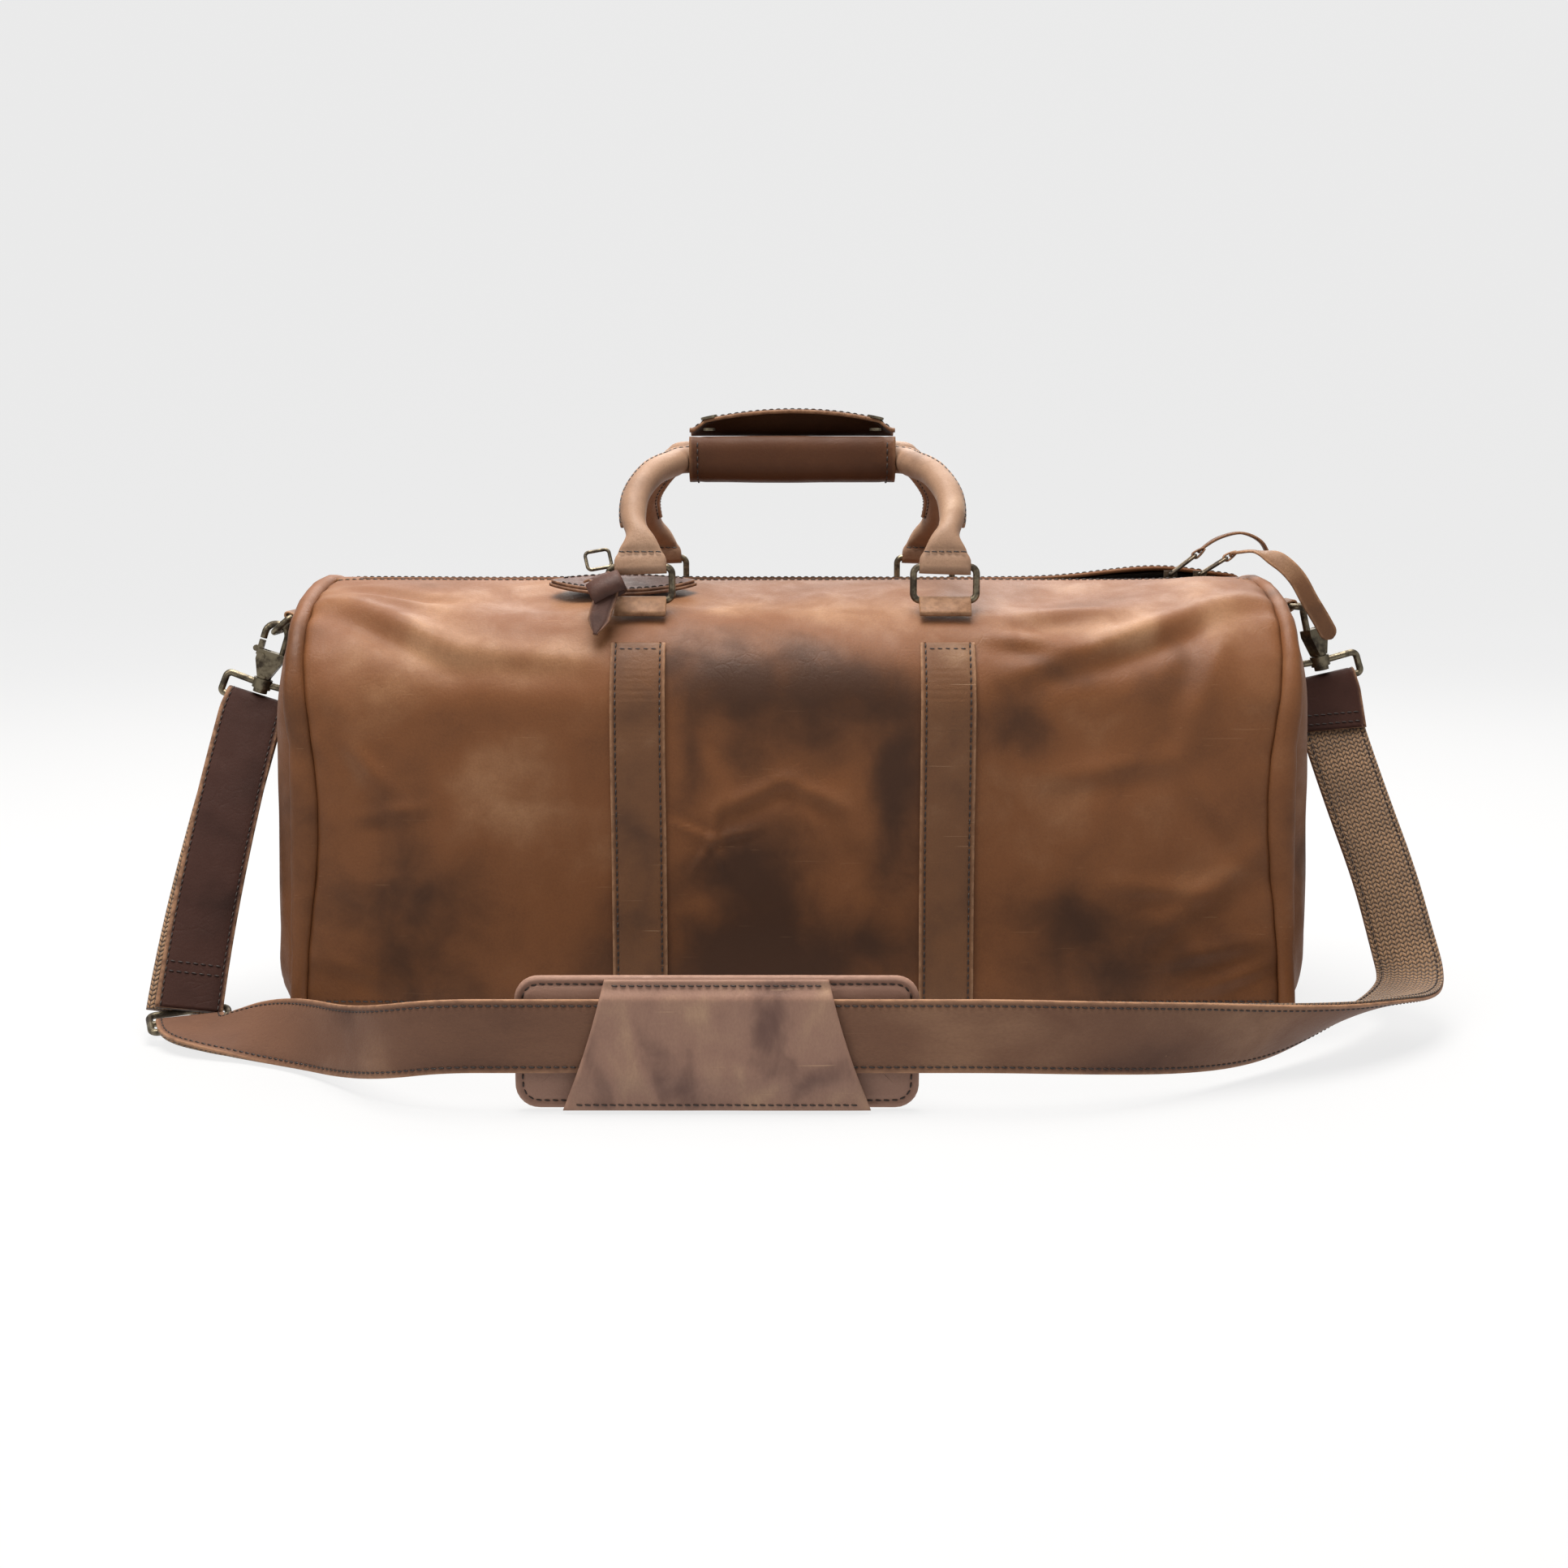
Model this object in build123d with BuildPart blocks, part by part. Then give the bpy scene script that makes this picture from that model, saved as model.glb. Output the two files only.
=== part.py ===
"""A leather duffel bag, modelled piece by piece in millimetres.

The origin is the centre of the bag's bottom face.  +X runs along the bag to its right end,
-Y points to the front and +Z is up.
"""
import os
from math import atan2, cos, degrees, radians, sin, sqrt

from build123d import *

os.makedirs("parts", exist_ok=True)

# ---- driving dimensions of the body -------------------------------------------------------
bag_length = 560.0        # between the two end seams
bag_depth = 250.0
bag_height = 260.0        # to the top of the crown
leather = 2.4             # body leather
cloth = 0.8               # lining cloth
shoulder_radius = 62.0
shoulder_height = 188.0   # where the flat front ends and the shoulder starts
bottom_radius = 18.0
bottom_seam_height = 20.0
end_bulge = 24.0          # how far an end panel domes out past its seam
piping_size = 8.0
board_thickness = 3.0
board_margin = 13.0       # base board edge to the bag's side

# ---- the zip -------------------------------------------------------------------------------
mouth_width = 28.0        # between the two leather edges
tape_under_leather = 12.0
tape_thickness = 1.0
chain_width = 5.0
chain_height = 2.7
zip_tab_length = 14.0
slider_length = 14.0
slider_width = 9.6
slider_gap = 0.4          # running clearance over the chain
left_slider_x = bag_length / 2 - 48
right_slider_x = bag_length / 2 - 30
link_wire = 0.95
link_length = 19.0
link_width = 6.4

# ---- carry handles -------------------------------------------------------------------------
handle_spacing = 174.0    # between the left and the right foot
band_width = 31.0
band_thickness = 2.0
loop_wall = 2.0           # leather folded round a ring's bar
bar_gap = 0.3             # leather to the metal bar inside it
ring_wire = 2.0
ring_width = 36.0         # between bar centres
ring_height = 19.0
loop_length = 29.0
handle_radius = 7.8
core_radius = 5.5
grip_length = 124.0
grip_depth = 38.0
grip_height = 31.0
grip_wall = 2.2
front_tube_z = 312.0 + ring_height
back_tube_z = 316.0 + ring_height
flap_rise = 8.0           # how far the flap bows up at its middle
snap_spacing = 100.0

# ---- shoulder strap and its hardware ---------------------------------------------------------
strap_width = 38.0
strap_leather_thickness = 2.0
webbing_thickness = 1.7
fold_gap = 0.7            # strap to the bar that it is folded over
ply_gap = 0.1
d_ring_width = 28.0
d_ring_length = 14.0
d_ring_wire = 1.9
anchor_x = {"left": bag_length / 2 + 26, "right": bag_length / 2 + 24}
anchor_z = {"left": 236.0, "right": 243.0}
d_ring_drop = {"left": 40.0, "right": 5.0}      # degrees below level
hook_tilt = {"left": 18.0, "right": 13.0}       # degrees from upright
hook_spin = {"left": 0.0, "right": 40.0}        # degrees round the hook's own axis
hook_wire = 2.1
hook_radius = 7.0
hook_throat = 28.0        # swivel to the centre of the hook's bend
hook_rest = 2.6           # the D-ring's wire sits this far above that centre
hook_thickness = 7.6
gate_thickness = 3.6
gate_gap = 0.3
gate_pin = 1.2
pin_running_gap = 0.06
post_radius = 2.6
post_length = 6.5
loop_wire = 2.1
loop_drop = 15.75         # swivel to the centre of the loop's strap bar
pad_centre_x = -39.0
pad_length = 206.0
pad_height = 69.0
pad_thickness = 8.0
pad_clearance = 0.8       # pad to the floor
cover_top = 113.0
cover_bottom = 156.0
cover_wall = 2.0
cover_gap = 1.2           # strap to the inside of the cover

# ---- luggage tag -----------------------------------------------------------------------------
tag_length = 88.0
tag_width = 38.0
tag_thickness = 4.0
tag_strap_width = 8.0
tag_strap_thickness = 1.6

# ---- sizes worked out from those above -------------------------------------------------------
half_length = bag_length / 2
half_depth = bag_depth / 2
end_shift = half_length - 280  # what hangs at the ends moves out with a longer bag
shoulder_y = half_depth - shoulder_radius
rise = bag_height - shoulder_height
crown_radius = (shoulder_y**2 + rise**2 - shoulder_radius**2) / (2 * (rise - shoulder_radius))
crown_centre = bag_height - crown_radius
crown_angle = degrees(atan2(shoulder_height - crown_centre, shoulder_y))
panel_end = half_length - 2
strap_pad_y = -266.0
strap_pad_z = 40.0


def section_face(grow, mode=Mode.ADD):
    """The body's cross-section in YZ, grown outwards by grow, added to the sketch being built."""
    side = half_depth + grow
    corner = max(bottom_radius + grow, 3)
    foot = side - corner
    with BuildLine() as outline:
        Line((-foot, -grow), (foot, -grow))
        CenterArc((foot, corner - grow), corner, 270, 90)
        Line((side, corner - grow), (side, shoulder_height))
        CenterArc((shoulder_y, shoulder_height), shoulder_radius + grow, 0, crown_angle)
        CenterArc((0, crown_centre), crown_radius + grow, crown_angle, 180 - 2 * crown_angle)
        CenterArc(
            (-shoulder_y, shoulder_height), shoulder_radius + grow, 180 - crown_angle, crown_angle
        )
        Line((-side, shoulder_height), (-side, corner - grow))
        CenterArc((-foot, corner - grow), corner, 180, 90)
    make_face(outline.edges(), mode=mode)


def crown_z(y):
    """Height of the body's outer surface above the point y, on the crown."""
    return crown_centre + sqrt(crown_radius**2 - y**2)


def shoulder_point(y, out):
    """The point (y, z) that lies out from the shoulder's surface, square to it, at side y."""
    across = abs(y) - shoulder_y
    up = sqrt(shoulder_radius**2 - across**2)
    sign = 1 if y > 0 else -1
    reach = (shoulder_radius + out) / shoulder_radius
    return sign * (shoulder_y + across * reach), shoulder_height + up * reach


def finish(piece, label):
    """Names a finished piece and writes its STEP file."""
    piece.part.label = label
    export_step(piece.part, f"parts/{label}.step")


def slab(low, high, mode=Mode.ADD):
    """A block between two corners, added to the part being built."""
    middle = [(a + b) / 2 for a, b in zip(low, high)]
    with Locations(Location(tuple(middle))):
        Box(*[b - a for a, b in zip(low, high)], mode=mode)


def wire_loop(plane, width, length, near, far, radius):
    """Round wire bent to a rectangle with rounded corners.  Its first bar is centred on the
    plane's origin and lies along the plane's x, and the loop reaches length along y."""
    side = width / 2
    with BuildLine(plane) as bend:
        Line((0, 0), (side - near, 0))
        CenterArc((side - near, near), near, 270, 90)
        Line((side, near), (side, length - far))
        CenterArc((side - far, length - far), far, 0, 90)
        Line((side - far, length), (far - side, length))
        CenterArc((far - side, length - far), far, 90, 90)
        Line((-side, length - far), (-side, near))
        CenterArc((near - side, near), near, 180, 90)
        Line((near - side, 0), (0, 0))
    with BuildSketch(Plane(origin=plane.origin, z_dir=plane.x_dir)) as section:
        Circle(radius)
    sweep(section.sketch, path=bend.line)


def rod(plane, radius, start, end, mode=Mode.ADD):
    """A round bar along the plane's normal, from start to end, added to the part being built."""
    with BuildSketch(plane.offset(start)) as section:
        Circle(radius)
    extrude(section.sketch, amount=end - start, mode=mode)


def tube_through(points, radius, first, last, side, mode=Mode.ADD):
    """A round solid through the points, whose ends are square to first and last.  side is a
    direction that the run never follows, and keeps the sections from turning."""
    places = [Vector(*p) for p in points]
    directions = [first]
    directions += [(b - a).normalized() for a, b in zip(places, places[2:])]
    directions += [last]
    sections = []
    for place, along in zip(places, directions):
        with BuildSketch(Plane(origin=place, x_dir=across_of(along, side), z_dir=along)) as section:
            Circle(radius)
        sections.append(section.sketch)
    loft(sections, ruled=True, mode=mode)


def across_of(along, side):
    """The direction square to along that is closest to side."""
    return (side - along * side.dot(along)).normalized()


def ribbon(stations, thickness, out=0.0):
    """A flat strip through stations of (place, width direction, width).  The strip lies out
    from the stations along its own normal, which is the run's direction crossed with the width."""
    places = [Vector(*place) for place, _, _ in stations]
    sections = []
    for i, (_, wide, width) in enumerate(stations):
        before = places[max(i - 1, 0)]
        after = places[min(i + 1, len(places) - 1)]
        along = (after - before).normalized()
        wide = Vector(*wide)
        wide = (wide - along * wide.dot(along)).normalized()
        normal = along.cross(wide)
        with BuildSketch(Plane(origin=places[i] + normal * out, x_dir=wide, z_dir=along)) as section:
            Rectangle(width, thickness)
        sections.append(section.sketch)
    loft(sections, ruled=True)


# ---- body: front, back and bottom panels, lining and base board --------------------------------
def wall(low, high, outer, inner, length):
    """The part of the body's wall between two grown sections that lies inside a (y, z) window."""
    middle = ((low[0] + high[0]) / 2, (low[1] + high[1]) / 2)
    with BuildSketch(Plane.YZ.offset(-length / 2)) as section:
        section_face(outer)
        section_face(inner, Mode.SUBTRACT)
        with Locations(middle):
            Rectangle(high[0] - low[0], high[1] - low[1], mode=Mode.INTERSECT)
    extrude(section.sketch, amount=length)


reach_y = half_depth + 20
reach_z = bag_height + 20
mouth_y = mouth_width / 2
with BuildPart() as front_panel:
    wall((-reach_y, bottom_seam_height), (-mouth_y, reach_z), 0, -leather, 2 * panel_end)
finish(front_panel, "front_panel")

with BuildPart() as back_panel:
    wall((mouth_y, bottom_seam_height), (reach_y, reach_z), 0, -leather, 2 * panel_end)
finish(back_panel, "back_panel")

with BuildPart() as bottom_panel:
    wall((-reach_y, -1), (reach_y, bottom_seam_height), 0, -leather, 2 * panel_end)
finish(bottom_panel, "bottom_panel")

tape_edge = mouth_y + tape_under_leather
lining_skin = leather + cloth
with BuildPart() as lining:
    wall((-reach_y, -1), (-tape_edge, reach_z), -leather, -lining_skin, 2 * panel_end - 2)
    wall((tape_edge, -1), (reach_y, reach_z), -leather, -lining_skin, 2 * panel_end - 2)
    wall((-tape_edge, -1), (tape_edge, half_depth), -leather, -lining_skin, 2 * panel_end - 2)
finish(lining, "lining")

with BuildPart() as base_board:
    board_side = half_depth - board_margin - bottom_radius / 2
    slab(
        (-panel_end + board_margin, -board_side, lining_skin),
        (panel_end - board_margin, board_side, lining_skin + board_thickness),
    )
    fillet(base_board.edges().filter_by(Axis.Z), radius=15)
finish(base_board, "base_board")

# ---- end panels and the piping round them ------------------------------------------------------
for label, sign in (("left", -1), ("right", 1)):
    # each step is (out along X, in from the body's outline) as a share of the bulge and piping
    dome = [
        (0, piping_size),
        (end_bulge * 0.5, piping_size + 5),
        (end_bulge * 0.83, piping_size + 17),
        (end_bulge, piping_size + 36),
    ]
    with BuildPart() as end_panel:
        for out, inset in dome:
            with BuildSketch(Plane.YZ.offset(sign * (panel_end + out))):
                section_face(-inset)
        loft(ruled=True)
        with BuildPart(mode=Mode.PRIVATE) as hollow:
            for step, (out, inset) in enumerate(dome):
                back = 1 if step == 0 else leather * 0.8
                with BuildSketch(Plane.YZ.offset(sign * (panel_end + out - back))):
                    section_face(-inset - leather * (1 if step < 2 else 0.5))
            loft(ruled=True)
        add(hollow.part, mode=Mode.SUBTRACT)
    finish(end_panel, f"{label}_end_panel")

    with BuildPart() as piping:
        bead = piping_size * 0.35
        for out, inset in ((0, bead), (bead, 0), (piping_size - bead, 0), (piping_size, bead)):
            with BuildSketch(Plane.YZ.offset(sign * (panel_end + out))):
                section_face(-inset)
        loft(ruled=True)
        with BuildSketch(Plane.YZ.offset(sign * (panel_end - 1))):
            section_face(-piping_size)
        extrude(amount=sign * (piping_size + 2), mode=Mode.SUBTRACT)
    finish(piping, f"{label}_piping")

# ---- zip: tapes, chain, end tabs, sliders and pulls ----------------------------------------------
tape_top = crown_z(tape_edge) - leather - 0.1
chain_top = tape_top + chain_height * 0.4
zip_end = panel_end - 1
for label, sign in (("front", -1), ("back", 1)):
    inner, outer = sorted((sign * chain_width / 2, sign * tape_edge))
    with BuildPart() as tape:
        slab((-zip_end, inner, tape_top - tape_thickness), (zip_end, outer, tape_top))
    finish(tape, f"{label}_zip_tape")

chain_end = zip_end - zip_tab_length
with BuildPart() as zip_chain:
    slab(
        (-chain_end, -chain_width / 2, chain_top - chain_height),
        (chain_end, chain_width / 2, chain_top),
    )
finish(zip_chain, "zip_chain")

tab_top = crown_z(mouth_y) + 0.3
with BuildPart() as zip_end_tabs:
    for low in (-zip_end, chain_end):
        slab((low, -mouth_y + 0.2, tape_top), (low + zip_tab_length, mouth_y - 0.2, tab_top))
finish(zip_end_tabs, "zip_end_tabs")

slider_floor = chain_top + slider_gap
slider_top = slider_floor + 1.8
bail_height = 4.6
pivot_z = slider_top + bail_height * 0.52
for label, x in (("left", left_slider_x), ("right", right_slider_x)):
    with BuildPart() as slider:
        half = slider_length / 2
        slab((x - half, -slider_width / 2, slider_floor), (x + half, slider_width / 2, slider_top))
        fillet(slider.edges().filter_by(Axis.Z), radius=2.2)
        for sign in (-1, 1):
            low, high = sorted((sign * (chain_width / 2 + slider_gap), sign * slider_width / 2))
            slab((x - half + 2.5, low, tape_top + slider_gap), (x + half - 2.5, high, slider_floor))
        slab((x - 4, -1.3, slider_top), (x + 4, 1.3, slider_top + bail_height))
        rod(Plane(origin=(x, 0, pivot_z), z_dir=(0, 1, 0)), 1.5, -3, 3, Mode.SUBTRACT)
    finish(slider, f"zip_slider_{label}")

# each pull's link leans up and to the right, and its leather runs on through these places
link_lean = {"left": 38.0, "right": 32.0}
pull_run = {
    "left": [(251, 1, 277.5), (262, 5, 284), (276, 7, 287), (288, 7, 282), (294, 7, 272)],
    "right": [
        (270.5, -2, 275),
        (282, -10, 276),
        (294, -18, 271),
        (304, -23, 261),
        (312, -25, 247),
        (319, -25, 236),
        (326, -25, 224),
    ],
}
pull_width = {"left": 8.0, "right": 11.0}
for label, x in (("left", left_slider_x), ("right", right_slider_x)):
    lean = radians(link_lean[label])
    pivot = Vector(x, 0, pivot_z)
    out = Vector(cos(lean), 0, sin(lean))
    link_plane = Plane(origin=pivot, x_dir=(0, 1, 0), z_dir=Vector(0, 1, 0).cross(out))
    with BuildPart() as link:
        wire_loop(link_plane, link_width, link_length, 1.5, 2.6, link_wire)
    finish(link, f"pull_link_{label}")

    eye = pivot + out * link_length
    with BuildPart() as pull:
        eye_plane = Plane(origin=eye, z_dir=(0, 1, 0))
        rod(eye_plane, 3.2, -1.6, 1.6)
        rod(eye_plane, link_wire + bar_gap, -2, 2, Mode.SUBTRACT)
        first = eye + out * 2.6
        run = [(first.X, first.Y, first.Z)] + [(px + end_shift, py, pz) for px, py, pz in pull_run[label]]
        widths = [3.2] + [pull_width[label]] * len(pull_run[label])
        ribbon([(p, (0, 1, 0), w) for p, w in zip(run, widths)], 1.6)
    finish(pull, f"pull_strap_{label}")

# ---- bands, ring loops and rings -------------------------------------------------------------
foot_y = handle_spacing / 2 + 1
loop_radius = ring_wire + bar_gap + loop_wall
ring_y, ring_z = shoulder_point(foot_y, band_thickness + loop_radius + 0.1)
band_top_y = foot_y - 6
for side, sign in (("front", -1), ("back", 1)):
    for end, way in (("left", -1), ("right", 1)):
        middle = way * handle_spacing / 2
        low, high = sorted((sign * band_top_y, sign * reach_y))
        with BuildPart() as band:
            with BuildSketch(Plane.YZ.offset(middle - band_width / 2)):
                section_face(band_thickness)
                section_face(0, Mode.SUBTRACT)
                with Locations(((low + high) / 2, (bottom_seam_height + reach_z) / 2)):
                    Rectangle(high - low, reach_z - bottom_seam_height, mode=Mode.INTERSECT)
            extrude(amount=band_width)
        finish(band, f"{side}_{end}_band")

        bar = Plane(origin=(middle, sign * ring_y, ring_z), x_dir=(1, 0, 0), z_dir=(0, -1, 0))
        with BuildPart() as ring:
            wire_loop(bar, ring_width, ring_height, 4, 4, ring_wire)
        finish(ring, f"{side}_{end}_ring")

    with BuildPart() as loops:
        for way in (-1, 1):
            middle = Vector(way * handle_spacing / 2, sign * ring_y, ring_z)
            bar = Plane(origin=middle, z_dir=(1, 0, 0))
            rod(bar, loop_radius, -loop_length / 2, loop_length / 2)
            rod(bar, ring_wire + bar_gap, -loop_length, loop_length, Mode.SUBTRACT)
    finish(loops, f"{side}_ring_loops")

# ---- carry handles, their cores, the grip wrap and its flap ----------------------------------
top_bar_z = ring_z + ring_height
tube_y = handle_radius + 0.4
hand = grip_length / 2
for side, sign, tube_z in (("front", -1, front_tube_z), ("back", 1, back_tube_z)):
    foot_x = handle_spacing / 2
    leg = [
        (foot_x + 1, sign * (ring_y - 6), top_bar_z + 16),
        (foot_x + 5, sign * (ring_y - 18), top_bar_z + 28),
        (foot_x + 4, sign * (ring_y - 34), top_bar_z + 41),
        (foot_x - 4, sign * (ring_y - 53), top_bar_z + 53),
        (foot_x - 15, sign * (ring_y - 70), tube_z - 2.5),
        (hand + 2, sign * tube_y, tube_z),
    ]
    # the front handle is run through from its left foot and the back one from its right
    run = [(sign * x, y, z) for x, y, z in leg] + [(-sign * x, y, z) for x, y, z in reversed(leg)]
    start = Vector(sign * 0.1, -sign * 0.35, 0.93).normalized()
    end = Vector(sign * 0.1, sign * 0.35, -0.93).normalized()
    beside = Vector(0, sign, 0)
    with BuildPart() as handle:
        tube_through(run, handle_radius, start, end, beside)
        tube_through(run, core_radius + 0.1, start, end, beside, Mode.SUBTRACT)
        for way in (-1, 1):
            bar_place = Vector(way * foot_x, sign * ring_y, top_bar_z)
            bar = Plane(origin=bar_place, z_dir=(1, 0, 0))
            rod(bar, loop_radius, -loop_length / 2, loop_length / 2)
            # the flat foot between the fold and the tube
            x, y, z = leg[0]
            tab_end = Plane(origin=(way * x, y, z - 1.5), x_dir=(1, 0, 0), z_dir=(0, 0, 1))
            tab_start = Plane(
                origin=bar_place + Vector(0, -sign * 1, 2.5), x_dir=(1, 0, 0), z_dir=(0, 0, 1)
            )
            with BuildSketch(tab_start):
                Rectangle(loop_length - 2, loop_radius * 1.6)
            with BuildSketch(tab_end):
                Rectangle(handle_radius * 1.9, handle_radius * 1.9)
            loft(ruled=True)
            rod(bar, ring_wire + bar_gap, -loop_length, loop_length, Mode.SUBTRACT)
    finish(handle, f"{side}_handle")

    with BuildPart() as core:
        tube_through(run, core_radius - 0.2, start, end, beside)
    finish(core, f"{side}_handle_core")

grip_z = (front_tube_z + back_tube_z) / 2
grip_top = grip_z + grip_height / 2
grip_open_front = -9.0
grip_open_back = 11.0
with BuildPart() as grip_wrap:
    with BuildSketch(Plane.YZ.offset(-hand)):
        with Locations((0, grip_z)):
            RectangleRounded(grip_depth, grip_height, 13)
            RectangleRounded(
                grip_depth - 2 * grip_wall, grip_height - 2 * grip_wall, 11, mode=Mode.SUBTRACT
            )
        with Locations(((grip_open_front + grip_open_back) / 2, grip_top)):
            Rectangle(grip_open_back - grip_open_front, grip_wall * 3, mode=Mode.SUBTRACT)
    extrude(amount=grip_length)
finish(grip_wrap, "grip_wrap")

flap_back = grip_depth / 2 - 4
flap_front = -grip_depth / 2 + 5
flap_base = grip_top + 2.1
with BuildPart() as grip_flap:
    with BuildSketch(Plane.XZ.offset(-flap_back)):
        with BuildLine():
            ThreePointArc((-hand, flap_base), (0, flap_base + flap_rise), (hand, flap_base))
            Line((hand, flap_base), (hand, flap_base + grip_wall))
            ThreePointArc(
                (hand, flap_base + grip_wall),
                (0, flap_base + flap_rise + grip_wall),
                (-hand, flap_base + grip_wall),
            )
            Line((-hand, flap_base + grip_wall), (-hand, flap_base))
        make_face()
    extrude(amount=flap_back - flap_front)
finish(grip_flap, "grip_flap")

snap_y = -grip_depth / 2 + 9
snap_x = snap_spacing / 2
bow_radius = (hand**2 + flap_rise**2) / (2 * flap_rise)
bow_centre = flap_base + flap_rise - bow_radius
with BuildPart() as snap_caps:
    for way in (-1, 1):
        lean_x = way * snap_x / (bow_radius + grip_wall)
        square = Vector(lean_x, 0, sqrt(1 - lean_x**2))
        cap = Plane(origin=Vector(0, snap_y, bow_centre) + square * bow_radius, z_dir=square)
        rod(cap, 5.0, grip_wall + 0.15, grip_wall + 1.6)
finish(snap_caps, "snap_caps")

with BuildPart() as snap_studs:
    for way in (-1, 1):
        stud = Plane(origin=(way * snap_spacing / 2, snap_y - 2, 0), z_dir=(0, 0, 1))
        rod(stud, 3.6, grip_top, grip_top + 1.6)
finish(snap_studs, "snap_studs")

# ---- D-rings, snap hooks and swivel loops at the two ends ----------------------------------------
bar_place = {}
bar_wide = {}
for label, sign in (("left", -1), ("right", 1)):
    drop = radians(d_ring_drop[label])
    tilt = radians(hook_tilt[label])
    anchor = Vector(sign * anchor_x[label], 0, anchor_z[label])
    out = Vector(sign * cos(drop), 0, -sin(drop))
    ring_plane = Plane(origin=anchor, x_dir=(0, 1, 0), z_dir=Vector(0, 1, 0).cross(out))
    with BuildPart() as d_ring:
        wire_loop(ring_plane, d_ring_width, d_ring_length, 2.5, 6, d_ring_wire)
    finish(d_ring, f"{label}_d_ring")

    tab_half = d_ring_width / 2 - d_ring_wire - 0.6
    tab_outer = d_ring_wire + bar_gap + 1.8
    with BuildPart() as d_ring_tab:
        rod(Plane(origin=anchor - Vector(0, tab_half, 0), z_dir=(0, 1, 0)), tab_outer, 0, 2 * tab_half)
        ends = sorted((sign * (panel_end + end_bulge * 0.7), anchor.X))
        slab(
            (ends[0], -tab_half, anchor.Z - 1.2),
            (ends[1], tab_half, anchor.Z + tab_outer),
        )
        rod(
            Plane(origin=anchor - Vector(0, 20, 0), z_dir=(0, 1, 0)),
            d_ring_wire + bar_gap, 0, 40, Mode.SUBTRACT,
        )
        with BuildPart(mode=Mode.PRIVATE) as end_shape:
            for out_x, inset in dome:
                with BuildSketch(Plane.YZ.offset(sign * (panel_end + out_x))):
                    section_face(-inset)
            loft(ruled=True)
        add(end_shape.part, mode=Mode.SUBTRACT)
    finish(d_ring_tab, f"{label}_d_ring_tab")

    up = Vector(-sign * sin(tilt), 0, cos(tilt))
    swivel = anchor + out * d_ring_length - up * (hook_throat + hook_rest)
    toward_bag = Vector(-sign * cos(tilt), 0, -sin(tilt))
    spine = toward_bag.rotate(Axis(Vector(0, 0, 0), up), hook_spin[label])
    face = Plane(origin=swivel, x_dir=spine, z_dir=spine.cross(up))
    post = Plane(origin=swivel, x_dir=spine, z_dir=up)
    pivot = (-4.5, 13.5)
    slot_half = gate_thickness / 2 + gate_gap
    with BuildPart() as hook:
        with BuildSketch(face):
            with BuildLine():
                Polyline(
                    (-3.6, 0.5), (3.6, 0.5), (9.1, 13.5), (9.1, 17.5), (-7.6, 17.5), (-7.6, 11), close=True
                )
            make_face()
        extrude(amount=hook_thickness / 2, both=True)
        with BuildSketch(face):
            with Locations((-8, 16)):
                Rectangle(15, 12, mode=Mode.ADD)
        extrude(amount=slot_half, both=True, mode=Mode.SUBTRACT)
        with BuildLine(face) as bend:
            Line((hook_radius, 14), (hook_radius, hook_throat))
            CenterArc((0, hook_throat), hook_radius, 0, 180)
            Line((-hook_radius, hook_throat), (-hook_radius, 24.2))
        with BuildSketch(Plane(origin=face.from_local_coords((hook_radius, 14, 0)), z_dir=up)):
            Circle(hook_wire)
        sweep(path=bend.line)
        rod(post, 4.4, 0.2, 2.0)
        rod(post, post_radius, -post_length, 0.5)
        rod(post, 4.4, -post_length - 2.4, -post_length)
        pin_plane = Plane(origin=face.from_local_coords((*pivot, 0)), z_dir=face.z_dir)
        rod(pin_plane, gate_pin, -6, 6, Mode.SUBTRACT)
    finish(hook, f"{label}_hook")

    with BuildPart() as gate:
        with BuildSketch(face):
            with Locations(pivot):
                Circle(3.0)
            with Locations((-7, 18.25)):
                Rectangle(3.4, 9.5)
            with Locations((-9.4, 17.0)):
                Circle(1.9)
        extrude(amount=gate_thickness / 2, both=True)
        rod(pin_plane, gate_pin + pin_running_gap, -6, 6, Mode.SUBTRACT)
    finish(gate, f"{label}_hook_gate")

    with BuildPart() as pin:
        rod(pin_plane, gate_pin, -hook_thickness / 2, hook_thickness / 2)
        rod(pin_plane, 2.1, hook_thickness / 2, hook_thickness / 2 + 0.9)
        rod(pin_plane, 2.1, -hook_thickness / 2 - 0.9, -hook_thickness / 2)
    finish(pin, f"{label}_gate_pin")

    # the swivel loop: an eye round the hook's post and a wire bent out to the strap bar
    along_bar = Vector(cos(tilt), 0, sign * sin(tilt))
    bar_centre = swivel - up * loop_drop
    loop_face = Plane(origin=bar_centre, x_dir=along_bar, z_dir=along_bar.cross(up))
    bar_side = strap_width / 2 + 2 * loop_wire
    eye_y = loop_drop - post_length / 2
    with BuildPart() as swivel_loop:
        with BuildLine(loop_face) as bend:
            FilletPolyline(
                (4.2, eye_y),
                (bar_side - 1, eye_y + 1),
                (bar_side, 0),
                (-bar_side, 0),
                (1 - bar_side, eye_y + 1),
                (-4.2, eye_y),
                radius=[3.4, 2.4, 2.4, 3.4],
            )
        first_run = (along_bar * (bar_side - 5.2) + up).normalized()
        with BuildSketch(Plane(origin=loop_face.from_local_coords((4.2, eye_y, 0)), z_dir=first_run)):
            Circle(loop_wire)
        sweep(path=bend.line)
        rod(post, 5.8, -post_length + 0.2, -0.1)
        rod(post, post_radius + pin_running_gap, -post_length - 3, 3, Mode.SUBTRACT)
    finish(swivel_loop, f"{label}_swivel_loop")
    bar_place[label] = bar_centre
    bar_wide[label] = along_bar

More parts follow.
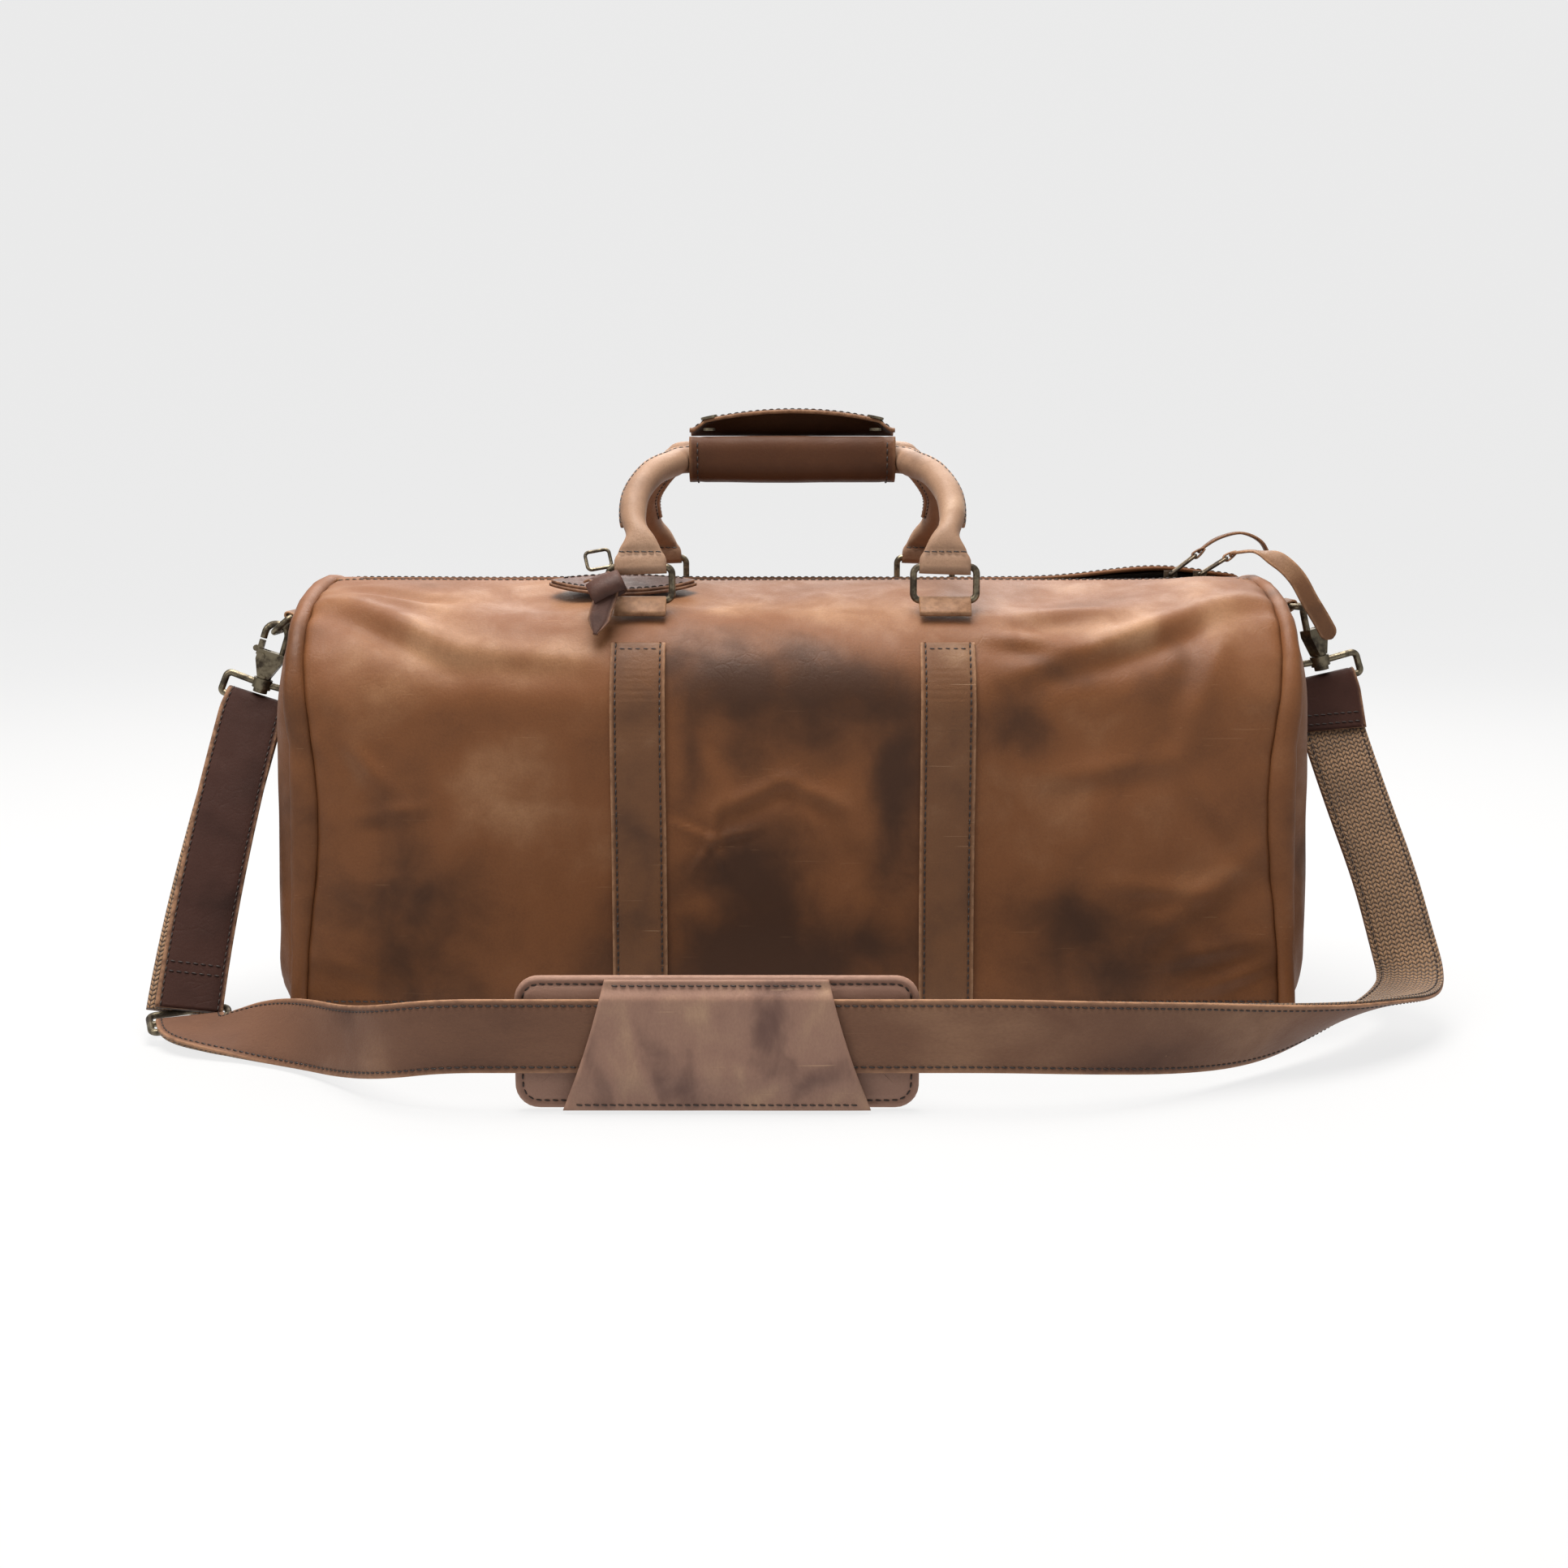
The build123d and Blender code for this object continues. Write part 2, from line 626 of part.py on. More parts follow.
# ---- the shoulder strap ----------------------------------------------------------------------------
# its route from the adjuster, along the front and up to the right clip: (place, width direction)
strap_run = [
    ((-330, -131, 9), (0.45, 0.85, 0.25)),
    ((-298, -153, 14), (0.25, 0.72, 0.62)),
    ((-266, -182, 19.5), (0.10, 0.35, 0.93)),
    ((-238, -216, 24), (0.03, 0.12, 0.99)),
    ((-206, -248, 32), (0.0, 0.03, 1.0)),
    ((-168, strap_pad_y, strap_pad_z), (0, 0, 1)),
    ((100, strap_pad_y, strap_pad_z), (0, 0, 1)),
    ((150, -258, 37), (0, 0, 1)),
    ((200, -236, 31), (0, -0.02, 1)),
    ((250, -205, 25), (0.25, -0.30, 0.90)),
    ((292, -176, 25), (0.50, -0.55, 0.62)),
    ((326, -144, 26), (0.65, -0.68, 0.35)),
    ((352, -112, 25), (0.78, -0.62, 0.08)),
    ((364, -88, 29), (0.90, -0.42, -0.02)),
    ((362, -72, 48), (0.99, -0.12, 0.10)),
    ((355, -55, 84), (0.98, 0, 0.18)),
    ((343, -36, 124), (0.97, 0, 0.22)),
    ((332, -17, 164), (0.965, 0, 0.26)),
    ((327, -6.5, 185), (0.97, 0, 0.23)),
]
# with a longer bag the run's ends move out as far as the bag's do, and its middle less
strap_run = [
    ((x + end_shift * max(-1.0, min(1.0, x / 250)), y, z), wide) for (x, y, z), wide in strap_run
]
stations = [(place, wide, strap_width) for place, wide in strap_run]
leather_out = (strap_leather_thickness + ply_gap) / 2
webbing_out = -(webbing_thickness + ply_gap) / 2
with BuildPart() as strap_leather:
    ribbon(stations, strap_leather_thickness, leather_out)
finish(strap_leather, "strap_leather")

with BuildPart() as strap_webbing:
    ribbon(stations, webbing_thickness, webbing_out)
finish(strap_webbing, "strap_webbing")


def folded_strap(centre, wide, far_end, far_wide, thickness):
    """A strap folded over a bar: up one side, round the bar in short facets, down the other.
    It leaves the bar square to it and turns to far_wide on its way to far_end."""
    down = (far_end - centre) - wide * (far_end - centre).dot(wide)
    down = down.normalized()
    normal = wide.cross(down)
    away = (far_end - centre).normalized()
    far_wide = (far_wide - away * far_wide.dot(away)).normalized()
    far_normal = far_wide.cross(away)
    off = loop_wire + fold_gap + thickness / 2
    straight = centre + down * 10
    places = [(far_end + far_normal * off, far_wide, away), (straight + normal * off, wide, down)]
    for turn in (0, 30, 60, 90, 120, 150, 180):
        spoke = normal * cos(radians(turn)) - down * sin(radians(turn))
        along = down * cos(radians(turn)) + normal * sin(radians(turn))
        places.append((centre + spoke * off, wide, along))
    places.append((straight - normal * off, wide, -down))
    places.append((far_end - far_normal * off, far_wide, -away))
    sections = []
    for place, across, along in places:
        with BuildSketch(Plane(origin=place, x_dir=across, z_dir=along)) as section:
            Rectangle(strap_width, thickness)
        sections.append(section.sketch)
    loft(sections, ruled=True)


adjuster_place = Vector(-347 - end_shift, -116, 11)
short_end = Vector(-344 - end_shift, -99, 28)
short_end_wide = Vector(0.95, 0.25, 0.10)
with BuildPart() as strap_short_loop:
    folded_strap(bar_place["left"], bar_wide["left"], short_end, short_end_wide, 3.4)
finish(strap_short_loop, "strap_short_loop")

right_top = bar_place["right"]
tab_down = (Vector(*strap_run[-2][0]) - right_top).normalized()
tab_wide = Vector(*strap_run[-1][1])
with BuildPart() as strap_end_tab:
    folded_strap(right_top, bar_wide["right"], right_top + tab_down * 34, tab_wide, 1.8)
finish(strap_end_tab, "strap_end_tab")

adjuster_wide = Vector(0.94, 0.33, 0.05).normalized()
adjuster_length = 20.0
adjuster_wire = 2.0
with BuildPart() as strap_adjuster:
    down = Vector(0.25, -0.85, -0.25)
    down = (down - adjuster_wide * down.dot(adjuster_wide)).normalized()
    lie = Plane(
        origin=adjuster_place - down * adjuster_length / 2,
        x_dir=adjuster_wide,
        z_dir=adjuster_wide.cross(down),
    )
    frame_width = strap_width + 2 * adjuster_wire + 2
    wire_loop(lie, frame_width, adjuster_length, 4, 4, adjuster_wire)
    bar = Plane(origin=adjuster_place, z_dir=adjuster_wide)
    rod(bar, adjuster_wire * 0.9, -frame_width / 2, frame_width / 2)
finish(strap_adjuster, "strap_adjuster")

# ---- shoulder pad and the cover that holds the strap on it -----------------------------------------
strap_front = strap_pad_y - leather_out - strap_leather_thickness / 2
strap_back = strap_pad_y - webbing_out + webbing_thickness / 2
pad_face = strap_back + cover_gap
pad_bottom = pad_clearance
pad_middle = pad_bottom + pad_height / 2
with BuildPart() as shoulder_pad:
    with BuildSketch(Plane.XZ.offset(-pad_face)):
        with Locations((pad_centre_x, pad_middle)):
            RectangleRounded(pad_length, pad_height, 12)
    extrude(amount=-pad_thickness)
finish(shoulder_pad, "shoulder_pad")

cover_front = strap_front - cover_gap - cover_wall
with BuildPart() as pad_cover:
    with BuildSketch(Plane.XZ.offset(-pad_face)):
        with BuildLine():
            Polyline(
                (pad_centre_x - cover_bottom / 2, pad_bottom + 0.5),
                (pad_centre_x + cover_bottom / 2, pad_bottom + 0.5),
                (pad_centre_x + cover_top / 2, pad_bottom + pad_height - 0.5),
                (pad_centre_x - cover_top / 2, pad_bottom + pad_height - 0.5),
                close=True,
            )
        make_face()
    extrude(amount=pad_face - cover_front)
    slab(
        (pad_centre_x - cover_bottom, cover_front + cover_wall, strap_pad_z - strap_width / 2 - cover_gap),
        (pad_centre_x + cover_bottom, pad_face + 1, strap_pad_z + strap_width / 2 + cover_gap),
        Mode.SUBTRACT,
    )
finish(pad_cover, "pad_cover")

# ---- luggage tag: a strap round the front left ring's side bar, and the leaf-shaped tag --------------
bar_x = -(handle_spacing + ring_width) / 2
tag_x = -100.0
tag_y = -51.0
tag_slope = Plane(
    origin=(tag_x, tag_y, crown_z(tag_y) + tag_thickness / 2 + 1.2),
    x_dir=(1, 0, 0),
    z_dir=(0, tag_y / crown_radius, 1),
)
with BuildPart() as tag_body:
    with BuildSketch(tag_slope.offset(-tag_thickness / 2)):
        with BuildLine():
            ThreePointArc((-tag_length / 2, 0), (0, tag_width / 2), (tag_length / 2, 0))
            ThreePointArc((tag_length / 2, 0), (0, -tag_width / 2), (-tag_length / 2, 0))
        make_face()
    extrude(amount=tag_thickness)
finish(tag_body, "tag_body")

loop_z = ring_z + loop_radius + 0.4
with BuildPart() as tag_strap:
    with BuildSketch(Plane.XY.offset(loop_z)):
        with Locations((bar_x - 1, -ring_y + 0.5)):
            RectangleRounded(13 + 2 * tag_strap_thickness, 16 + 2 * tag_strap_thickness, 5)
            RectangleRounded(13, 16, 4, mode=Mode.SUBTRACT)
    extrude(amount=tag_strap_width)
finish(tag_strap, "tag_strap")

buckle_lie = Plane(
    origin=(bar_x - 6, -ring_y + 12, loop_z + 13), x_dir=(1, 0, 0.25), z_dir=(0.1, -0.9, 0.4)
)
with BuildPart() as tag_buckle:
    wire_loop(buckle_lie, 14, 11, 2.5, 2.5, 1.0)
finish(tag_buckle, "tag_buckle")
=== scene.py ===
# %% [markdown]
# # A leather duffel bag, dressed in Blender
#
# The bag arrives as a measured model: every piece has its true size and place, but a plain
# surface.  In this lesson each soft piece is rebuilt as a surface worked out with numpy, the
# metal pieces keep their measured shape, and every finish is made from shader nodes.  Lengths
# are in metres: X runs along the bag, -Y faces the front and Z is up.

# %% Load the measured model
from math import atan2, cos, pi, radians, sin, sqrt

import bpy
import numpy as np
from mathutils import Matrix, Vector


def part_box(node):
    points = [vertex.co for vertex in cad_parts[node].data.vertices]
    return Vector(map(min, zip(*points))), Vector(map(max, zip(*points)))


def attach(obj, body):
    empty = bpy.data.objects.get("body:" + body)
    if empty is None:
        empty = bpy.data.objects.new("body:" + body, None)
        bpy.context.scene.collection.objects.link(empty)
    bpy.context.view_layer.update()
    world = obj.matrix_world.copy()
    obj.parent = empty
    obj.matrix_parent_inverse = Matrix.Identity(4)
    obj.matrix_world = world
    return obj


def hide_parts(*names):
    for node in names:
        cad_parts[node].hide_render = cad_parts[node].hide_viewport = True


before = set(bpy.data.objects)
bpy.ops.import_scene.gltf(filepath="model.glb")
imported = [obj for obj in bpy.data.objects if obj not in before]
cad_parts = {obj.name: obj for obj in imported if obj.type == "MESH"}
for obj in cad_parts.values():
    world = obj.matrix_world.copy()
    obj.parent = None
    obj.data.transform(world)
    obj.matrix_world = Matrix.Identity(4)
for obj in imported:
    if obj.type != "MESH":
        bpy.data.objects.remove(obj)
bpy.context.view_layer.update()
mm = 0.001

# %% [markdown]
# ## The camera, the floor and the light
#
# The bag is looked at from the front, from a little above its handles, with a lens slightly
# longer than normal so that the ends don't splay.  A pale sweep of paper, curved up behind the
# bag, gives an even ground.  One large soft light hangs over the front and two weaker ones fill
# the sides, because waxed leather shows its colour best under broad light.

# %% Camera
camera_data = bpy.data.cameras.new("camera")
camera_data.lens = 49.4
camera_data.sensor_width = 36
camera_data.clip_end = 50
camera = bpy.data.objects.new("camera", camera_data)
camera.location = (-0.005, -1.325, 0.312)
camera.rotation_euler = (pi / 2 - radians(7.73), 0, 0)
bpy.context.collection.objects.link(camera)
bpy.context.scene.camera = camera
print("camera", round(camera_data.angle * 57.3, 1), "degrees wide")

# %% [markdown]
# ## From a grid of points to a mesh
#
# Each new piece is a grid: row after row of points, worked out as one array.  Three helpers
# turn such arrays into closed meshes.  A *tube* closes each row on itself and shuts both ends;
# a *sheet* is two grids, a face and a back, joined round the rim; and a *strip* is a tube whose
# rows are one profile carried along a path.  A closed mesh has a signed volume, so if that comes
# out negative the faces are turned over.


# %% Grids to meshes
def squares(rows, columns, wrap=False):
    """Corner numbers of a grid's squares, and of the same squares on a chart that keeps one more
    column where the grid closes on itself."""
    across = columns if wrap else columns - 1
    i, j = (a.ravel() for a in np.meshgrid(np.arange(rows - 1), np.arange(across), indexing="ij"))
    after = (j + 1) % columns
    wide = columns + 1 if wrap else columns
    row, next_row = i * columns, (i + 1) * columns
    faces = np.stack([row + j, next_row + j, next_row + after, row + after], 1)
    row, next_row = i * wide, (i + 1) * wide
    chart = np.stack([row + j, next_row + j, next_row + j + 1, row + j + 1], 1)
    return faces, chart


def volume(points, faces):
    """Six times the signed volume inside the faces: the sum of the triple products of the
    triangles that fan out from each face's first corner."""
    total = 0.0
    for k in range(1, faces.shape[1] - 1):
        a, b, c = (points[faces[:, n]] for n in (0, k, k + 1))
        total += np.einsum("ij,ij->i", a, np.cross(b, c)).sum()
    return total


def build(name, points, parts, body, material, slot, chart=None, wear=None, tone=None):
    """A mesh object.  parts is a list of (faces, chart corners), and chart the flat place of each
    chart corner in metres.  wear and tone are values for each point that the finish can read."""
    if sum(volume(points, faces) for faces, _ in parts) < 0:
        parts = [(faces[:, ::-1], None if flat is None else flat[:, ::-1]) for faces, flat in parts]
    mesh = bpy.data.meshes.new(name)
    mesh.from_pydata(points.tolist(), [], [row for faces, _ in parts for row in faces.tolist()])
    if chart is not None:
        corners = [
            (chart[flat] if flat is not None else np.zeros((*faces.shape, 2))).reshape(-1, 2)
            for faces, flat in parts
        ]
        mesh.uv_layers.new(name="flat").data.foreach_set("uv", np.concatenate(corners).ravel())
    for label, values in (("wear", wear), ("tone", tone)):
        if values is not None:
            layer = mesh.attributes.new(label, "FLOAT", "POINT")
            layer.data.foreach_set("value", np.asarray(values, float).ravel())
    mesh.shade_smooth()
    mesh.materials.append(material)
    piece = bpy.data.objects.new(name, mesh)
    bpy.context.collection.objects.link(piece)
    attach(piece, body)
    return piece


def tube(name, rings, body, material, slot, chart=None, wear=None, ring_closed=False):
    """A mesh from rings of points, one ring to a row.  The ends are shut with a point in the
    middle of each, or the last ring joins the first if ring_closed."""
    rows, columns, _ = rings.shape
    points = rings.reshape(-1, 3)
    faces, flat = squares(rows, columns, wrap=True)
    parts = [(faces, flat if chart is not None else None)]
    worn = None if wear is None else np.broadcast_to(wear, (rows, columns)).ravel()
    j = np.arange(columns)
    if ring_closed:
        last = (rows - 1) * columns
        parts.append((np.stack([last + j, j, (j + 1) % columns, last + (j + 1) % columns], 1), None))
    else:
        ends = rings[[0, -1]].mean(1)
        first, last = len(points), len(points) + 1
        points = np.concatenate([points, ends])
        start = np.stack([(j + 1) % columns, np.full(columns, first), j], 1)
        back = (rows - 1) * columns
        stop = np.stack([back + j, np.full(columns, last), back + (j + 1) % columns], 1)
        parts += [(start, None), (stop, None)]
        if worn is not None:
            worn = np.concatenate([worn, worn.reshape(rows, columns)[[0, -1]].max(1)])
    flat_places = None if chart is None else chart.reshape(-1, 2)
    return build(name, points, parts, body, material, slot, flat_places, worn)


def sheet_mesh(name, face, back, body, material, slot, chart=None, tone=None, wear=None):
    """A mesh from two grids of points, the face of a sheet and its back, joined round the rim."""
    rows, columns, _ = face.shape
    count = rows * columns
    points = np.concatenate([face.reshape(-1, 3), back.reshape(-1, 3)])
    faces, flat = squares(rows, columns)
    edge = np.concatenate([
        np.arange(columns),
        np.arange(1, rows) * columns + columns - 1,
        (rows - 1) * columns + np.arange(columns - 2, -1, -1),
        np.arange(rows - 2, 0, -1) * columns,
    ])
    after = np.roll(edge, -1)
    rim = np.stack([edge, after, after + count, edge + count], 1)
    parts = [(faces, flat), (faces[:, ::-1] + count, flat[:, ::-1]), (rim, None)]
    places = None if chart is None else chart.reshape(-1, 2)
    double = [None if v is None else np.tile(np.asarray(v, float).ravel(), 2) for v in (wear, tone)]
    return build(name, points, parts, body, material, slot, places, *double)


def unit(vectors):
    """The same directions, each of length one."""
    vectors = np.asarray(vectors, float)
    return vectors / np.linalg.norm(vectors, axis=-1, keepdims=True)


def directions(path):
    """The direction of a path at each of its points: from the point before to the point after."""
    path = np.asarray(path, float)
    return unit(np.concatenate([[path[1] - path[0]], path[2:] - path[:-2], [path[-1] - path[-2]]]))


def distance_along(path):
    """How far along the path each of its points lies."""
    steps = np.linalg.norm(np.diff(path, axis=0), axis=1)
    return np.concatenate([[0], np.cumsum(steps)])


def even(path, gap, *others):
    """The path again with points a given gap apart, and any other arrays carried along with it."""
    far = distance_along(path)
    count = max(int(round(far[-1] / gap)), 2) + 1
    where = np.linspace(0, far[-1], count)
    return [
        np.stack([np.interp(where, far, a[:, k]) for k in range(a.shape[1])], 1) for a in (path, *others)
    ]


def cubic(f, start, leave, end, meet):
    """The cubic from start to end, for f from nought to one, that leaves start in the direction
    leave and arrives in the direction meet."""
    return (
        (2 * f**3 - 3 * f**2 + 1) * start + (f**3 - 2 * f**2 + f) * leave
        + (3 * f**2 - 2 * f**3) * end + (f**3 - f**2) * meet
    )


def through(points, gap):
    """A smooth path through the points.  Between two points it is the cubic that leaves each
    one in the direction from its neighbour before to its neighbour after."""
    points = np.asarray(points, float)
    before = np.concatenate([[2 * points[0] - points[1]], points, [2 * points[-1] - points[-2]]])
    slope = (before[2:] - before[:-2]) / 2
    t = np.linspace(0, 1, 25)[:-1, None]
    runs = [cubic(t, *ends) for ends in zip(points[:-1], slope[:-1], points[1:], slope[1:])]
    return even(np.concatenate(runs + [points[-1:]]), gap)[0]


def across_and_up(path, across):
    """A strip's own two directions: across, made square to its path, and its normal, which is the
    path's direction crossed with across."""
    along = directions(path)
    across = unit(across - along * np.einsum("ij,ij->i", across, along)[:, None])
    return across, np.cross(along, across)


def carried(path, across, profile):
    """Rings of points: the profile's first number is laid along across and its second along the
    strip's normal."""
    across, up = across_and_up(path, across)
    profile = np.broadcast_to(profile, (len(path), *np.shape(profile)[-2:]))
    return path[:, None] + across[:, None] * profile[..., :1] + up[:, None] * profile[..., 1:]


def strip(name, path, across, profile, body, material, slot, wear=None):
    """A profile carried along a path as a closed mesh.  Its chart runs along the path one way and
    round the profile the other, in metres."""
    rings = carried(path, across, profile)
    first = np.asarray(profile)[0] if np.ndim(profile) == 3 else np.asarray(profile)
    round_it = distance_along(np.concatenate([first, first[:1]]))
    chart = np.stack(np.meshgrid(distance_along(path), round_it, indexing="ij"), -1)
    return tube(name, rings, body, material, slot, chart, wear)


def corners(node):
    """The lowest and the highest corner of a measured piece's box."""
    return [np.array(corner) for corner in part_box(node)]


def squared_off(value, power):
    """A sine or cosine to a power below one, with its sign kept: it makes a circle boxy."""
    return np.sign(value) * np.abs(value) ** power


both_ends = (("left", -1), ("right", 1))
both_sides = (("front", -1), ("back", 1))
print("mesh helpers ready")

# %% [markdown]
# ## Flat leather, cut and stitched
#
# A cut strap isn't a plank.  Its edges are rounded over, the leather thins where a row of
# stitches pulls it down, and the cut edges show a paler, rougher core.  The profile below holds
# all three, and marks its edge points as worn so that the finish can lighten them.


# %% A cut strap's profile
def strap_profile(width, thickness, groove_in=None, groove=0.35 * mm, crown=0.0, low=0.0):
    """Points round a strap's section.  The face bows up by crown in the middle and dips by groove
    where the stitches run, groove_in from either edge; the back stays flat at height low."""
    half = width / 2
    turn = min(0.45 * thickness, 0.7 * mm)
    inset = [0.0, turn * 0.3, turn]
    if groove_in:
        inset += [groove_in + beside * mm for beside in (-1.1, -0.45, 0, 0.45, 1.1)]
    inset = sorted(i for i in inset if i >= 0)
    side = np.array(inset)
    middle = np.linspace(side[-1], width - side[-1], 9)[1:-1]
    places = np.concatenate([side, middle, width - side[::-1]])
    height = low + thickness + crown * (1 - ((places - half) / half) ** 2)
    from_edge = np.minimum(places, width - places)
    rounding = 1 - np.sqrt(np.clip(1 - (1 - from_edge / turn) ** 2, 0, 1))
    height -= np.where(from_edge < turn, turn * rounding, 0)
    if groove_in:
        height -= groove * np.exp(-(((from_edge - groove_in) / (0.55 * mm)) ** 2))
    face = np.stack([places - half, height], 1)
    corner = low + turn * 0.6
    bottom = np.array([[half, corner], [half - turn, low], [turn - half, low], [-half, corner]])
    profile = np.concatenate([face, bottom])
    reach = half - np.abs(profile[:, 0])
    return profile, np.exp(-((reach / (1.1 * mm)) ** 2))


print("strap profile has", len(strap_profile(38 * mm, 2 * mm, 3 * mm)[0]), "points")

# %% [markdown]
# ## Stitches
#
# Every seam on this bag is a row of thick dark thread, about six stitches to the inch.  Each
# stitch is a small round bar whose two ends dive into the leather.  All the stitches of a seam
# are worked out in one array: a row of places along the seam, times the rings of one stitch,
# times the points of one ring.


# %% One seam of stitches
stitch_pitch = 4.2 * mm
stitch_length = 3.3 * mm
stitch_lean = 0.08
thread_radius = 0.42 * mm
seams = {}


def seam(path, up, body="bag", group="bag", pitch=stitch_pitch, lift=0.1 * mm):
    """Adds a row of stitches along a path.  Along a stitch, from -1 to 1, its height above the
    leather falls off as the square, and its radius stays even until the two ends."""
    path, up = np.asarray(path, float), unit(np.broadcast_to(up, np.shape(path)))
    path, up = even(path, pitch, up)
    middle = (path[1:] + path[:-1]) / 2
    along = unit(path[1:] - path[:-1])
    up = unit(up[1:] + up[:-1])
    side = np.cross(along, up)
    reach = np.array([-1.0, -0.86, -0.4, 0.4, 0.86, 1.0])
    radius = thread_radius * np.array([0.25, 0.85, 1.0, 1.0, 0.85, 0.25])
    height = lift + 0.25 * mm - 0.75 * mm * reach**4
    turn = np.linspace(0, 2 * pi, 6, endpoint=False)
    leaning = along + side * stitch_lean
    spine = (
        middle[:, None] + leaning[:, None] * (reach * stitch_length / 2)[:, None]
        + up[:, None] * height[:, None]
    )
    rings = (
        spine[:, :, None]
        + side[:, None, None] * (radius[:, None] * np.cos(turn))[..., None]
        + up[:, None, None] * (radius[:, None] * np.sin(turn))[..., None]
    )
    seams.setdefault((group, body), []).append(rings)


def sew(material):
    """Makes one mesh of all the stitches that were added for each group and body."""
    for (group, body), rows in seams.items():
        rings = np.concatenate(rows)
        count, deep, wide, _ = rings.shape
        faces, _ = squares(deep, wide, wrap=True)
        ends = np.array([[0, wide - 1], [0, 0]])
        first = np.arange(wide)[None]
        caps = np.concatenate([first, (deep - 1) * wide + first[:, ::-1]])
        shift = (np.arange(count) * deep * wide)[:, None, None]
        sides = (faces[None] + shift).reshape(-1, 4)
        shut = (caps[None] + shift).reshape(-1, wide)
        parts = [(sides, None), (shut, None)]
        build(f"{group}_stitches", rings.reshape(-1, 3), parts, body, material, None)
        print(f"{group}_stitches", count)


print("one stitch every", stitch_pitch / mm, "mm")

# %% [markdown]
# ## Finishes from shader nodes
#
# Pull-up leather is dyed through and waxed.  Where it has been bent or pressed, the wax moves
# and the colour lightens, so its colour is a slow drift between three browns, with soft clouds a
# hand wide, smaller ones a finger wide, a fine grain and a few pale scratches.  That pattern is
# one node group, *hide*, used by every leather piece with its own colours.  A second group,
# *worn edge*, lightens the points that a mesh marks as worn.


# %% A small language for node trees
class Nodes:
    """Adds nodes to a tree.  Every method returns the output socket of the node that it adds."""

    def __init__(self, tree):
        self.tree = tree

    def add(self, kind, output=0, inputs=(), **settings):
        node = self.tree.nodes.new(kind)
        for key, value in settings.items():
            setattr(node, key, value)
        for key, value in dict(inputs).items():
            if isinstance(value, bpy.types.NodeSocket):
                self.tree.links.new(value, node.inputs[key])
            else:
                node.inputs[key].default_value = value
        return node.outputs[output]

    def math(self, operation, a, b=0.0):
        return self.add("ShaderNodeMath", inputs={0: a, 1: b}, operation=operation)

    def move(self, a, b, operation="ADD"):
        return self.add("ShaderNodeVectorMath", inputs={0: a, 1: b}, operation=operation)

    def between(self, value, low, high, to_low=0.0, to_high=1.0):
        inputs = {"Value": value, "From Min": low, "From Max": high, "To Min": to_low, "To Max": to_high}
        return self.add("ShaderNodeMapRange", inputs=inputs, interpolation_type="SMOOTHSTEP")

    def mix(self, share, a, b, blend="MIX"):
        return self.add(
            "ShaderNodeMix", output=2, inputs={0: share, 6: a, 7: b}, data_type="RGBA", blend_type=blend
        )

    def noise(self, place, scale, detail=3.0, rough=0.5, warp=0.0):
        inputs = {"Vector": place, "Scale": scale, "Detail": detail, "Roughness": rough, "Distortion": warp}
        return self.add("ShaderNodeTexNoise", inputs=inputs)


def group(name, inputs, outputs):
    """A new node group with named sockets.  Returns its nodes, its inputs and its output node."""
    tree = bpy.data.node_groups.new(name, "ShaderNodeTree")
    kinds = {"color": "NodeSocketColor", "value": "NodeSocketFloat", "vector": "NodeSocketVector"}
    for label, kind in inputs.items():
        tree.interface.new_socket(label, in_out="INPUT", socket_type=kinds[kind])
    for label, kind in outputs.items():
        tree.interface.new_socket(label, in_out="OUTPUT", socket_type=kinds[kind])
    entry = tree.nodes.new("NodeGroupInput")
    leave = tree.nodes.new("NodeGroupOutput")
    return Nodes(tree), entry.outputs, leave


# %% The hide group
n, given, leave = group(
    "hide",
    {"Place": "vector", "Light": "color", "Middle": "color", "Dark": "color", "Cloud Size": "value",
     "Tone": "value", "Contrast": "value", "Scratches": "value"},
    {"Colour": "color", "Roughness": "value", "Height": "value"},
)
per_cloud = n.math("DIVIDE", 1.0, given["Cloud Size"])
wide_clouds = n.noise(given["Place"], per_cloud, 2.0, 0.5, 0.7)
small_clouds = n.noise(given["Place"], n.math("MULTIPLY", per_cloud, 3.7), 4.0, 0.6, 0.4)
drift = n.math("ADD", n.math("MULTIPLY", wide_clouds, 0.74), n.math("MULTIPLY", small_clouds, 0.26))
drift = n.math("MULTIPLY", n.math("SUBTRACT", drift, 0.5), given["Contrast"])
tone = n.math("ADD", n.math("ADD", drift, 0.5), given["Tone"])
colour = n.mix(n.between(tone, 0.16, 0.56), given["Dark"], given["Middle"])
colour = n.mix(n.between(tone, 0.52, 1.0), colour, given["Light"])
speck = n.noise(given["Place"], 900.0, 3.0, 0.65)
colour = n.mix(n.between(speck, 0.35, 0.7, 0.0, 0.16), colour, given["Dark"])
scratch = None
# the two ways that scratches run: their turn, how far the noise is stretched, and how rare they are
scratch_ways = (((0.3, 0.5, 0.9), (26, 900, 900), 0.735), ((-0.5, 0.2, -0.6), (20, 700, 700), 0.74))
for turn, stretch, limit in scratch_ways:
    laid = n.add("ShaderNodeMapping", inputs={"Vector": given["Place"], "Rotation": turn, "Scale": stretch})
    line = n.between(n.noise(laid, 1.0, 1.0, 0.4), limit, limit + 0.05)
    patch = n.between(n.noise(laid, 0.35, 1.0, 0.5), 0.5, 0.62)
    line = n.math("MULTIPLY", line, patch)
    scratch = line if scratch is None else n.math("MAXIMUM", scratch, line)
scratch = n.math("MULTIPLY", scratch, given["Scratches"])
colour = n.mix(n.math("MULTIPLY", scratch, 0.55), colour, given["Light"])
